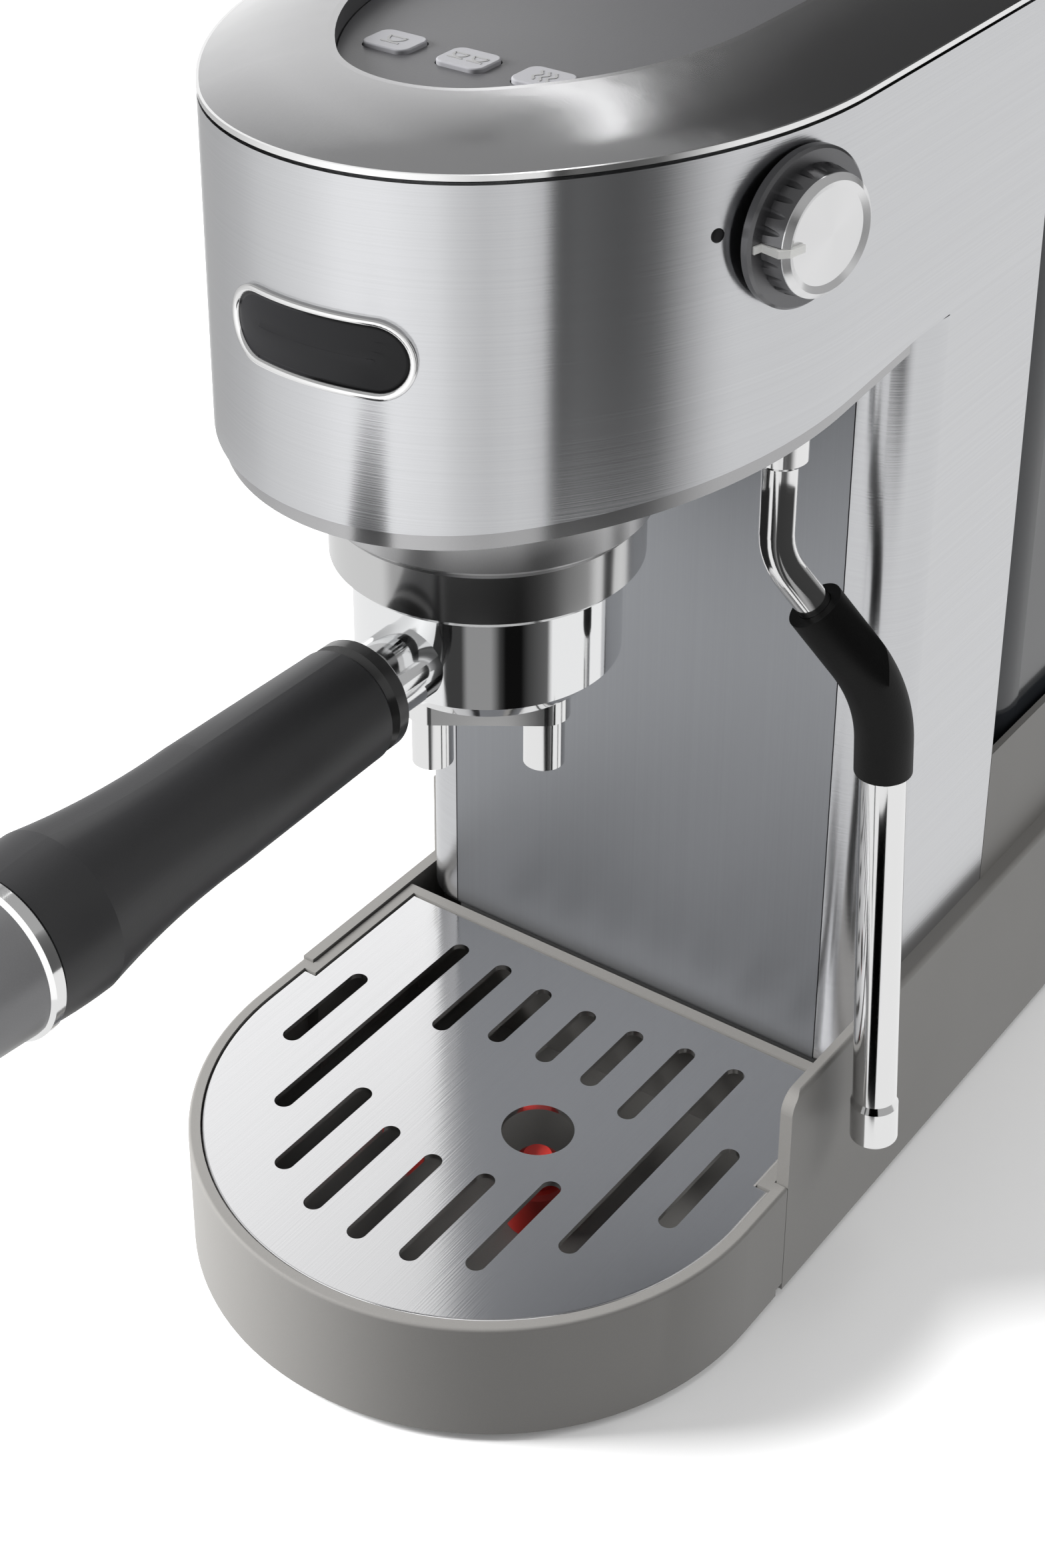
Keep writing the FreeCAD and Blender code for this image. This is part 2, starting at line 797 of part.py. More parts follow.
splash = body("splash_plate")
plan = sketch(splash, "plan", "XY", S.tray_rim + S.sheet_gap)
rectangle(
    plan, -plate_front + S.sheet_gap, S.column_front, plate_front - S.sheet_gap,
    S.column_front + S.casing_wall,
)
pad(splash, plan, S.head_low_rear - S.tray_rim - S.sheet_gap * 2)

frame = body("inner_frame")
plan = sketch(frame, "wall", "XY", floor_top)
rectangle(plan, -plate_front, frame_front, plate_front, frame_rear)
pad(frame, plan, shelf_low - floor_top)
plan = sketch(frame, "shelf", "XY", shelf_low)
head_outline(plan, S.casing_wall + S.sheet_gap, S.body_rear - S.rear_panel_thick - S.sheet_gap)
pad(frame, plan, S.shelf_thick)
holes = sketch(frame, "holes", "XY", shelf_top)
circle(holes, 0, S.group_row, S.bowl_round + 1.5)
circle(holes, wand_across, S.wand_row, S.nut_round + 0.8)
circle(holes, S.pump_across, S.pump_row, S.hose_round * 2)
pocket(frame, holes, S.shelf_thick)
studs = sketch(frame, "studs", "XZ", -frame_rear)
board_low = S.surround_high
board_high = board_low + S.board_height
board_right = plate_front - S.foot_height
board_left = board_right - S.board_width
for x in (board_left + S.board_inset, board_right - S.board_inset):
    for z in (board_low + S.board_inset, board_high - S.board_inset):
        circle(studs, x, z, S.shaft_round)
pad(frame, studs, S.board_stud, back=True)

rear = body("rear_panel")
plan = sketch(rear, "plan", "XY", S.base_top)
rear_half = half_body - S.casing_wall - S.slide_gap
rectangle(plan, -rear_half, S.body_rear - S.rear_panel_thick, rear_half, S.body_rear)
pad(rear, plan, bezel_low - S.base_top)

cover = body("head_bottom_cover")
cover_low = S.head_low_front - S.cover_drop
plan = sketch(cover, "plan", "XY", cover_low - 5)
head_outline(plan, S.cover_inset, S.column_front - S.slide_gap)
pad(cover, plan, shelf_low - cover_low + 5)
slant = sketch(cover, "slant", "YZ")
cover_high = S.head_low_rear - S.cover_drop
wire(slant, [
    (base_front, cover_low - 10), (S.column_front + 5, cover_low - 10),
    (S.column_front + 5, cover_high), (S.column_front, cover_high), (nose_front, cover_low),
    (base_front, cover_low),
])
pocket(cover, slant, S.base_width * 2, middle=True)
holes = sketch(cover, "holes", "XY", shelf_low)
circle(holes, 0, S.group_row, S.group_round + S.sheet_gap)
circle(holes, wand_across, S.wand_row, S.nut_round + S.sheet_gap)
pocket(cover, holes, S.base_width)

# Top: bright trim, sloping bezel, recessed plate and three sprung buttons
trim = body("top_trim")
plan = sketch(trim, "plan", "XY", trim_low)
head_outline(plan, Size(0), S.body_rear)
pad(trim, plan, S.trim_thick)
inside = sketch(trim, "inside", "XY", trim_low)
head_outline(inside, S.trim_wide, S.body_rear - S.trim_wide)
pocket(trim, inside, S.trim_thick, back=True)

bezel = body("top_bezel")
neck = sketch(bezel, "neck", "XY", bezel_low)
neck_inset = S.trim_wide + S.slide_gap
head_outline(neck, neck_inset, S.body_rear - neck_inset)
pad(bezel, neck, trim_high - bezel_low)
low = sketch(bezel, "low", "XY", trim_high)
head_outline(low, Size(0.6), S.body_rear)
mid = sketch(bezel, "mid", "XY", trim_high + (bezel_top - trim_high) * 0.62)
head_outline(mid, S.bezel_wide * 0.4, S.body_rear - S.bezel_rear_wide * 0.25)
high = sketch(bezel, "high", "XY", bezel_top)
head_outline(high, S.bezel_wide - S.bezel_lip, S.body_rear - S.bezel_rear_wide + S.bezel_lip)
loft(bezel, [low, mid, high])
seat = plate_top - S.plate_thick
mouth = sketch(bezel, "mouth", "XY", bezel_top)
head_outline(mouth, S.bezel_wide, S.body_rear - S.bezel_rear_wide)
pocket(bezel, mouth, bezel_top - seat)
well = sketch(bezel, "well", "XY", bezel_top)
well_inset = S.bezel_wide + S.bezel_lip
head_outline(well, well_inset, S.body_rear - S.bezel_rear_wide - S.bezel_lip)
pocket(bezel, well, bezel_top - bezel_low)

plate = body("top_plate")
plan = sketch(plate, "plan", "XY", seat)
head_outline(plan, S.bezel_wide + S.slide_gap, S.body_rear - S.bezel_rear_wide - S.slide_gap)
pad(plate, plan, S.plate_thick)
holes = sketch(plate, "button_holes", "XY", plate_top)
half_wide = S.button_wide / 2
half_long = S.button_long / 2
button_round = half_long / 2
for place in (-1, 0, 1):
    across = S.button_pitch * place
    rounded(
        holes, across - half_wide, S.button_row - half_long, across + half_wide,
        S.button_row + half_long, button_round,
    )
pocket(plate, holes, S.plate_thick)

button_high = plate_top + S.button_proud
flange_high = seat - S.sheet_gap
flange_low = flange_high - S.slide_gap * 10
for place, label in ((-1, "button_left"), (0, "button_middle"), (1, "button_right")):
    button = body(label, (S.button_pitch * place, S.button_row, 0))
    cap = sketch(button, "cap", "XY", flange_high)
    reach = half_wide - S.slide_gap
    deep = half_long - S.slide_gap
    rounded(cap, -reach, -deep, reach, deep, button_round)
    pad(button, cap, button_high - flange_high)
    dress(button, "Fillet", 0.4, edge_at(button_high))
    foot = sketch(button, "foot", "XY", flange_low)
    reach = half_wide + S.button_flange
    deep = half_long + S.button_flange
    rounded(foot, -reach, -deep, reach, deep, button_round)
    pad(button, foot, flange_high - flange_low)

board = body("button_board")
plan = sketch(board, "plan", "XY", bezel_low - S.board_thick)
rectangle(plan, -half_body * 0.57, S.button_row - 12, half_body * 0.57, S.button_row + 12)
pad(board, plan, S.board_thick)
switches = body("button_switches")
plan = sketch(switches, "plan", "XY", bezel_low)
switches.AllowCompound = True
switch_high = flange_low - S.button_travel - S.slide_gap
for place in (-1, 0, 1):
    across = S.button_pitch * place
    rectangle(plan, across - 3, S.button_row - 3, across + 3, S.button_row + 3)
pad(switches, plan, (switch_high - bezel_low) * 0.6)
stems = sketch(switches, "stems", "XY", bezel_low)
for place in (-1, 0, 1):
    circle(stems, S.button_pitch * place, S.button_row, 1.75)
pad(switches, stems, switch_high - bezel_low)

# Steam knob on the head's long side arc, square to the steel there
lean_row = S.head_side_start - S.knob_row
knob_across = root(S.head_side_round * S.head_side_round - lean_row * lean_row) - (
    S.head_side_round - half_body
)
knob_lean = math.degrees(math.asin(lean_row.value / S.head_side_round.value))
knob_turn = Rotation(Vector(0, 0, 1), -knob_lean)
knob_at = (knob_across, S.knob_row, S.knob_height)
lean_sine = lean_row / S.head_side_round
lean_cosine = root(1 - lean_sine * lean_sine)

knob = body("steam_knob", knob_at, knob_turn)
half = sketch(knob, "profile", "XZ")
knob_foot = S.sheet_gap * 2
shaft_out = S.knob_deep * 0.6
face_round = S.knob_drum - 2
dish_face = S.knob_deep - S.knob_dish
wire(half, [
    (knob_foot, S.shaft_round + S.fit_gap), (knob_foot, S.knob_round - 0.6),
    (knob_foot + 0.6, S.knob_round), (S.knob_skirt - 0.6, S.knob_round),
    (S.knob_skirt, S.knob_round - 0.6), (S.knob_skirt, S.knob_drum),
    (S.knob_deep - 1, S.knob_drum - 0.7), (S.knob_deep, face_round),
    (dish_face, face_round - S.knob_dish * 2), (dish_face, 0), (shaft_out, 0),
    (shaft_out, S.shaft_round + S.fit_gap),
])
revolve(knob, half, "H_Axis")
flute = sketch(knob, "flute", "YZ", S.knob_skirt)
circle(flute, 0, S.knob_drum + S.knob_flute / 2, S.knob_flute)
flute_cut = pocket(knob, flute, S.knob_deep, back=True)
around(knob, flute_cut, 24, "X")

# White pointer strip, let into the face, the drum and the skirt
strip_face = S.knob_deep - 1.2
strip_drum = S.knob_drum - 1.5
strip_skirt = S.knob_skirt - 0.5
strip_end = S.knob_round - S.foot_height / 2
strip_proud = S.knob_deep + 0.25
let_in = sketch(knob, "let_in", "XY")
let_out = S.knob_deep + 1
wire(let_in, [
    (let_out, -S.mark_start + S.fit_gap), (strip_face - S.fit_gap, -S.mark_start + S.fit_gap),
    (strip_face - S.fit_gap, -strip_drum + S.fit_gap), (strip_skirt - S.fit_gap, -strip_drum + S.fit_gap),
    (strip_skirt - S.fit_gap, -strip_end - S.fit_gap), (let_out, -strip_end - S.fit_gap),
])
pocket(knob, let_in, S.mark_wide + S.fit_gap * 2, middle=True)

pointer = body("knob_pointer", knob_at, knob_turn)
mark = sketch(pointer, "mark", "XY")
wire(mark, [
    (strip_proud, -S.mark_start), (strip_face, -S.mark_start), (strip_face, -strip_drum),
    (strip_skirt, -strip_drum), (strip_skirt, -strip_end), (S.knob_skirt + 0.4, -strip_end),
    (S.knob_skirt + 0.4, -S.knob_drum - 0.3), (S.knob_deep - 1, -S.knob_drum - 0.3),
    (strip_proud, -face_round - 0.3),
])
pad(pointer, mark, S.mark_wide, middle=True)

shaft = body("knob_shaft", knob_at, knob_turn)
valve_face = Size(-6.5)
rod = sketch(shaft, "rod", "YZ", valve_face - 5)
circle(rod, 0, 0, S.shaft_round)
pad(shaft, rod, shaft_out - valve_face + 5 - S.fit_gap)

valve = body("steam_valve", knob_at, knob_turn)
valve_half = Size(8.0)
wand_x = wand_across - knob_across
wand_y = S.wand_row - S.knob_row
valve_x = wand_x * lean_cosine - wand_y * lean_sine
valve_y = wand_x * lean_sine + wand_y * lean_cosine
plan = sketch(valve, "block", "XY", -valve_half)
rectangle(plan, valve_face - 18, -valve_half, valve_face, valve_y + S.nut_round)
pad(valve, plan, valve_half * 2 - 1)
stem = sketch(valve, "stem", "XY", shelf_low + S.slide_gap - S.knob_height)
circle(stem, valve_x, valve_y, S.nut_round + 0.5)
pad(valve, stem, S.knob_height - shelf_low - S.slide_gap - valve_half + 1)
bore = sketch(valve, "bore", "YZ", valve_face - 5)
circle(bore, 0, 0, S.shaft_round + S.fit_gap)
pocket(valve, bore, 6, back=True)

# Steam wand: it turns in the nut under the head
wand_turn = Rotation(Vector(0, 0, 1), S.wand_plane.value)
wand_at = (wand_across, S.wand_row, 0)
tube_round = S.wand_tube / 2
nut_low = cover_low - 0.5
nut_high = shelf_low
ledge = nut_high - 6
nut = body("wand_nut", wand_at)
half = sketch(nut, "profile", "XZ")
wire(half, [
    (tube_round + S.slide_gap, nut_low), (S.nut_round - 1, nut_low), (S.nut_round, nut_low + 1),
    (S.nut_round, nut_high), (tube_round + 1 + S.slide_gap, nut_high),
    (tube_round + 1 + S.slide_gap, ledge), (tube_round + S.slide_gap, ledge),
])
revolve(nut, half)

tube = body("wand_tube", wand_at, wand_turn)
upper = S.wand_slope
bend_reach = S.wand_bend_round * tangent(upper / 2)
turn_back = upper - S.wand_low_slope
elbow_reach = S.wand_elbow_round * tangent(turn_back / 2)
elbow_x = S.wand_slope_run * sine(upper)
elbow_z = S.wand_bend - S.wand_slope_run * cosine(upper)
low_sine = sine(S.wand_low_slope)
low_cosine = cosine(S.wand_low_slope)
end_x = elbow_x + S.wand_low_run * low_sine
end_z = elbow_z - S.wand_low_run * low_cosine
tube_top = nut_high - 1
tip_clear = S.wand_tip_long * 0.6
route = sketch(tube, "route", "XZ")
wire(route, [
    (0, tube_top), (0, S.wand_bend + bend_reach),
    (bend_reach * sine(upper), S.wand_bend - bend_reach * cosine(upper)),
    (elbow_x - elbow_reach * sine(upper), elbow_z + elbow_reach * cosine(upper)),
    (elbow_x + elbow_reach * low_sine, elbow_z - elbow_reach * low_cosine),
    (end_x - tip_clear * low_sine, end_z + tip_clear * low_cosine),
], {1: (S.wand_bend_round, -1), 3: (S.wand_elbow_round, 1)}, closed=False)
ring = sketch(tube, "ring", "XY", tube_top)
circle(ring, 0, 0, tube_round)
pipe(tube, ring, route)
stop = sketch(tube, "collar", "XY", ledge + S.slide_gap)
circle(stop, 0, 0, tube_round + 1)
pad(tube, stop, tube_top - ledge - S.slide_gap)

grip_turn = wand_turn.multiply(Rotation(Vector(0, 1, 0), -upper.value))
wand_cos = cosine(S.wand_plane)
wand_sin = sine(S.wand_plane)
grip_x = S.wand_grip_start * sine(upper)
grip_z = S.wand_bend - S.wand_grip_start * cosine(upper)
grip_run = S.wand_slope_run - S.wand_grip_start
grip_at = (wand_across + grip_x * wand_cos, S.wand_row + grip_x * wand_sin, grip_z)
grip = body("wand_grip", grip_at, grip_turn)
route = sketch(grip, "route", "XZ")
wire(route, [
    (0, 0), (0, -(grip_run - elbow_reach)),
    (-(elbow_reach * sine(turn_back)), -(grip_run + elbow_reach * cosine(turn_back))),
    (-(S.wand_grip_tail * sine(turn_back)), -(grip_run + S.wand_grip_tail * cosine(turn_back))),
], {1: (S.wand_elbow_round, 1)}, closed=False)
ring = sketch(grip, "ring", "XY")
circle(ring, 0, 0, S.wand_grip / 2)
circle(ring, 0, 0, tube_round + S.fit_gap)
pipe(grip, ring, route)

low_turn = wand_turn.multiply(Rotation(Vector(0, 1, 0), -S.wand_low_slope.value))
end_at = (wand_across + end_x * wand_cos, S.wand_row + end_x * wand_sin, end_z)
sleeve = body("wand_sleeve", end_at, low_turn)
half = sketch(sleeve, "profile", "XZ")
sleeve_low = S.wand_tip_long
sleeve_high = S.wand_low_run - S.wand_grip_tail
wire(half, [
    (tube_round + S.fit_gap, sleeve_low), (S.wand_sleeve / 2, sleeve_low),
    (S.wand_sleeve / 2, sleeve_high - 1), (S.wand_sleeve / 2 - 0.5, sleeve_high),
    (tube_round + S.fit_gap, sleeve_high),
])
revolve(sleeve, half)
tip = body("wand_tip", end_at, low_turn)
half = sketch(tip, "profile", "XZ")
tip_half = S.wand_tip / 2
wire(half, [
    (0, 0), (tip_half - 3, 0), (tip_half, 3), (tip_half, sleeve_low - 2), (tip_half - 1, sleeve_low),
    (tube_round + S.fit_gap, sleeve_low), (tube_round + S.fit_gap, tip_clear - 0.2),
    (0, tip_clear - 0.2),
])
revolve(tip, half)


# Group: collar with bayonet ledges, gasket, screen, and the heater that it hangs from
group_at = (0, S.group_row, 0)
collar = body("group_collar", group_at)
half = sketch(collar, "profile", "XZ")
chamber = S.lug_round + S.sheet_gap
core_round = S.bowl_round + 1.2
ledge_round = core_round + S.sheet_gap * 2
ledge_high = S.group_low + S.ledge_thick
chamber_high = S.gasket_low + 1
wire(half, [
    (ledge_round, S.group_low), (S.group_round - 1, S.group_low), (S.group_round, S.group_low + 1),
    (S.group_round, shelf_low), (core_round + S.fit_gap, shelf_low),
    (core_round + S.fit_gap, chamber_high), (chamber, chamber_high), (chamber, ledge_high),
    (ledge_round, ledge_high),
])
revolve(collar, half)
lug_count = 3
gap_turn = (360 / lug_count - S.ledge_turn) / 2
gap = sketch(collar, "gap", "XY", S.group_low)
gap_x = -(chamber * cosine(gap_turn))
gap_y = chamber * sine(gap_turn)
root_x = -((ledge_round - 1) * cosine(gap_turn))
root_y = (ledge_round - 1) * sine(gap_turn)
wire(gap, [(root_x, -root_y), (gap_x, -gap_y), (gap_x, gap_y), (root_x, root_y)], {
    1: (chamber, 1), 3: (ledge_round - 1, -1),
})
gap_cut = pocket(collar, gap, S.ledge_thick, back=True)
around(collar, gap_cut, lug_count)

core = body("group_core", group_at)
half = sketch(core, "profile", "XZ")
gasket_high = S.gasket_low + S.gasket_thick
gasket_bore = S.bowl_round - 4
wire(half, [
    (0, gasket_high - 1), (gasket_bore - 1, gasket_high - 1), (gasket_bore - 1, gasket_high),
    (core_round, gasket_high), (core_round, shelf_top), (0, shelf_top),
])
revolve(core, half)
gasket = body("group_gasket", group_at)
half = sketch(gasket, "profile", "XZ")
wire(half, [
    (gasket_bore, S.gasket_low), (core_round - S.slide_gap, S.gasket_low),
    (core_round - S.slide_gap, gasket_high), (gasket_bore, gasket_high),
])
revolve(gasket, half)
screen = body("shower_screen", group_at)
screen_rim = gasket_bore - 1 - S.fit_gap
half = sketch(screen, "profile", "XZ")
wire(half, [
    (2, S.gasket_low), (gasket_bore - 2, S.gasket_low), (screen_rim, S.gasket_low + 1),
    (screen_rim, gasket_high - 1), (gasket_bore - 2, gasket_high - 1),
    (gasket_bore - 2, S.gasket_low + 1), (2, S.gasket_low + 1),
])
revolve(screen, half)
screen_screw = body("screen_screw", group_at)
half = sketch(screen_screw, "profile", "XZ")
wire(half, [
    (0, S.gasket_low - 1.5), (3, S.gasket_low - 1.5), (3.5, S.gasket_low - 1), (3.5, S.gasket_low),
    (2 - S.fit_gap, S.gasket_low), (2 - S.fit_gap, gasket_high - 1), (0, gasket_high - 1),
])
revolve(screen_screw, half)

# Portafilter: chromed holder with three lugs, basket, twin spout and handle
holder = body("portafilter_holder", group_at)
half = sketch(holder, "profile", "XZ")
cavity = S.bowl_round - S.bowl_wall + 1
bowl_floor = S.bowl_low + S.bowl_wall
holder_high = S.gasket_low - S.sheet_gap
basket_round = cavity - S.sheet_gap
drain = S.spout_round
wire(half, [
    (drain, S.bowl_low), (S.bowl_round - 5, S.bowl_low), (S.bowl_round, S.bowl_low + 5),
    (S.bowl_round, S.rim_low - 1), (S.rim_round - 1.5, S.rim_low), (S.rim_round, S.rim_low + 1.5),
    (S.rim_round, S.group_low - 1.3), (S.rim_round - 1, S.group_low - S.sheet_gap),
    (core_round, S.group_low - S.sheet_gap), (core_round, holder_high - S.fit_gap),
    (cavity + 1.5, holder_high - S.fit_gap), (cavity + 1.5, holder_high - 1),
    (cavity, holder_high - 1), (cavity, bowl_floor + 3), (cavity - 3, bowl_floor),
    (drain, bowl_floor),
])
revolve(holder, half)
lug_low = ledge_high + S.sheet_gap
lug_high = S.gasket_low - S.sheet_gap
lug = sketch(holder, "lug", "XY", lug_low)
lug_half = S.lug_turn / 2
lug_x = S.lug_round * cosine(lug_half)
lug_y = S.lug_round * sine(lug_half)
seat_x = (core_round - 1) * cosine(lug_half)
seat_y = (core_round - 1) * sine(lug_half)
wire(lug, [(seat_x, -seat_y), (lug_x, -lug_y), (lug_x, lug_y), (seat_x, seat_y)], {
    1: (S.lug_round, -1), 3: (core_round - 1, 1),
})
lug_pad = pad(holder, lug, lug_high - lug_low)
around(holder, lug_pad, lug_count)
stub = sketch(holder, "stub", "XZ", cavity + 0.5)
circle(stub, 0, S.handle_height, S.neck_round)
pad(holder, stub, S.handle_start - cavity - 0.5)

basket = body("filter_basket", group_at)
half = sketch(basket, "profile", "XZ")
sheet_thick = S.trim_thick * 0.5
basket_low = holder_high - S.basket_tall
wire(half, [
    (0, basket_low), (basket_round - 4, basket_low), (basket_round, basket_low + 6),
    (basket_round, holder_high - 1), (cavity + 1.3, holder_high - 1),
    (cavity + 1.3, holder_high - 0.2),
    (basket_round - sheet_thick, holder_high - 0.2), (basket_round - sheet_thick, basket_low + 6),
    (basket_round - 4 - sheet_thick, basket_low + sheet_thick), (0, basket_low + sheet_thick),
])
revolve(basket, half)

spout = body("twin_spout", group_at, Rotation(Vector(0, 0, 1), S.spout_turn.value))
spout_half = S.spout_across / 2
spout_high = S.bowl_low - S.hub_tall
spout_mid = spout_high - S.arm_tall
half_plan = S.spout_round + 1.2
arms = sketch(spout, "arms", "XY", spout_mid)
wire(arms, [
    (-spout_half, -half_plan), (spout_half, -half_plan), (spout_half + half_plan, 0),
    (spout_half, half_plan), (-spout_half, half_plan), (-spout_half - half_plan, 0),
], {1: (half_plan, -1), 2: (half_plan, -1), 4: (half_plan, -1), 5: (half_plan, -1)})
pad(spout, arms, spout_high - spout_mid)
hub = sketch(spout, "hub", "XY", spout_high)
circle(hub, 0, 0, drain * 2)
pad(spout, hub, S.bowl_low - spout_high)
spigot = sketch(spout, "spigot", "XY", S.bowl_low)
circle(spigot, 0, 0, drain - S.fit_gap)
pad(spout, spigot, S.bowl_wall)
nozzles = sketch(spout, "nozzles", "XY", spout_mid)
for side in (-1, 1):
    circle(nozzles, spout_half * side, 0, S.spout_round)
pad(spout, nozzles, spout_mid - S.spout_low, back=True)
bores = sketch(spout, "bores", "XY", S.spout_low)
for side in (-1, 1):
    circle(bores, spout_half * side, 0, S.spout_round - 1.4)
pocket(spout, bores, spout_mid - S.spout_low + 3, back=True)


def arm_edge(edge):
    """Test for the upper edges of the arms, outside the hub."""
    box = edge.BoundBox
    return edge_at(spout_high)(edge) and max(box.XMax, -box.XMin) > drain.value * 2 + NEAR


dress(spout, "Fillet", S.spout_round / 2, arm_edge)

handle_at = (0, S.group_row, S.handle_height)


def turned(label, points, arcs=None):
    """Make a piece of the handle, turned about the handle's own axis."""
    made = body(label, handle_at)
    profile = sketch(made, "profile", "YZ")
    wire(profile, points, arcs)
    revolve(made, profile, "H_Axis")
    return made


flange_at = -S.handle_start
grip_at = flange_at - S.flange_thick
ring_at = -(S.handle_start + S.handle_long - S.cap_long - S.ring_thick)
cap_at = ring_at - S.ring_thick
front = S.handle_front_round
back = S.handle_rear_round
turned("handle_flange", [
    (flange_at, 0), (flange_at, front - 1.5), (flange_at - 1.5, front), (grip_at + 1.5, front),
    (grip_at, front - 1), (grip_at, 0),
])
waist_at = grip_at + (ring_at - grip_at) * 0.45
swell_at = grip_at + (ring_at - grip_at) * 0.86
turned("handle_grip", [
    (grip_at, 0), (grip_at, front - 1), (grip_at - 1.5, front + 0.3), (waist_at, front + 1.2),
    (swell_at, back), (ring_at, back - 0.8), (ring_at, 0),
], {3: (S.handle_long * 1.6, 1), 4: (S.handle_long * 0.9, -1)})
turned("handle_ring", [
    (ring_at, 0), (ring_at, back - 1), (ring_at - 0.8, back - 0.2), (cap_at + 0.8, back - 0.2),
    (cap_at, back - 1), (cap_at, 0),
])
cap_end = cap_at - S.cap_long
turned("handle_cap", [
    (cap_at, 0), (cap_at, back - 1.2), (cap_end + 9, back - 2.2), (cap_end, back - 11), (cap_end, 0),
], {2: (Size(11.0), -1)})

# Water tank behind the column, lifted off its dock, with a hinged lid
tank = body("water_tank")
half_tank = half_body - S.tank_inset
tank_low = S.base_top + S.slide_gap
plan = sketch(tank, "plan", "XY", tank_low)
rounded(plan, -half_tank, S.tank_front, half_tank, S.tank_rear, S.tank_round)
pad(tank, plan, S.tank_top - tank_low)
inside = sketch(tank, "inside", "XY", S.tank_top)
rounded(
    inside, -half_tank + S.tank_wall, S.tank_front + S.tank_wall, half_tank - S.tank_wall,
    S.tank_rear - S.tank_wall, S.tank_round - S.tank_wall,
)
pocket(tank, inside, S.tank_top - tank_low - S.tank_wall)
hinge_row = S.tank_rear + S.knuckle_round
hinge_high = S.tank_top + S.lid_thick / 2 + S.slide_gap
knuckle_half = half_tank * 0.18
ear_half = knuckle_half * 1.5
for side in (-1, 1):
    ear = sketch(tank, f"ear_{side + 1}", "YZ", side * (knuckle_half + S.sheet_gap))
    ear_low = hinge_high - S.knuckle_round * 4
    wire(ear, [
        (S.tank_rear - 0.5, ear_low), (hinge_row + S.knuckle_round, hinge_high - 3),
        (hinge_row + S.knuckle_round, hinge_high), (hinge_row, hinge_high + S.knuckle_round),
        (hinge_row - S.knuckle_round + 0.2, hinge_high),
        (hinge_row - S.knuckle_round + 0.2, S.tank_top - 1), (S.tank_rear - 0.5, S.tank_top - 1),
    ], {2: (S.knuckle_round, -1)})
    pad(tank, ear, ear_half - knuckle_half, back=side < 0)
bore = sketch(tank, "bore", "YZ")
circle(bore, hinge_row, hinge_high, S.pin_round + S.fit_gap)
pocket(tank, bore, ear_half * 4, middle=True)
outlet = sketch(tank, "outlet", "XY", tank_low)
circle(outlet, 0, S.outlet_row, S.outlet_round + S.sheet_gap)
pocket(tank, outlet, S.tank_wall, back=True)

lid = body("tank_lid")
lid_low = S.tank_top + S.slide_gap
plan = sketch(lid, "plan", "XY", lid_low)
rounded(plan, -half_tank, S.tank_front, half_tank, S.tank_rear - 0.4, S.tank_round)
pad(lid, plan, S.lid_thick)
dress(lid, "Fillet", 1.2, edge_at(lid_low + S.lid_thick))
skirt = sketch(lid, "skirt", "XY", lid_low)
skirt_in = S.tank_wall + S.sheet_gap * 2
rounded(
    skirt, -half_tank + skirt_in, S.tank_front + skirt_in, half_tank - skirt_in,
    S.tank_rear - skirt_in - 1, S.tank_round - skirt_in,
)
pad(lid, skirt, 4, back=True)
well = sketch(lid, "well", "XY", lid_low - 4)
skirt_in = skirt_in + 1.6
rounded(
    well, -half_tank + skirt_in, S.tank_front + skirt_in, half_tank - skirt_in,
    S.tank_rear - skirt_in - 1, S.tank_round - skirt_in,
)
pocket(lid, well, 4, back=True)
barrel = sketch(lid, "barrel", "YZ")
wire(barrel, [
    (S.tank_rear - 1, lid_low + 0.4), (hinge_row, hinge_high - S.knuckle_round + 0.4),
    (hinge_row + S.knuckle_round - 0.4, hinge_high), (hinge_row, hinge_high + S.knuckle_round - 0.4),
    (S.tank_rear - 1, lid_low + S.lid_thick - 0.2),
], {1: (S.knuckle_round - 0.4, -1), 2: (S.knuckle_round - 0.4, -1)})
pad(lid, barrel, knuckle_half * 2, middle=True)
bore = sketch(lid, "bore", "YZ")
circle(bore, hinge_row, hinge_high, S.pin_round + S.fit_gap)
pocket(lid, bore, knuckle_half * 4, middle=True)

pin = body("lid_pin")
rod = sketch(pin, "rod", "YZ")
circle(rod, hinge_row, hinge_high, S.pin_round)
pad(pin, rod, ear_half * 2, middle=True)

surround = body("tank_surround")
wall_rear = base_rear - S.deck_round
wall_round = S.base_rear_round
for inset, name in ((Size(0), "outer"), (S.surround_wall, "inner")):
    plan = sketch(surround, name, "XY", S.base_top)
    half = half_body - inset
    bend = wall_round - inset
    far = wall_rear - inset
    near = S.body_rear + S.sheet_gap - inset
    wire(plan, [
        (-half, near), (half, near), (half, far - bend), (half - bend, far),
        (-half + bend, far), (-half, far - bend),
    ], {2: (bend, -1), 4: (bend, -1)})
    if name == "outer":
        pad(surround, plan, S.surround_high - S.base_top)
    else:
        pocket(surround, plan, S.surround_high - S.base_top, back=True)

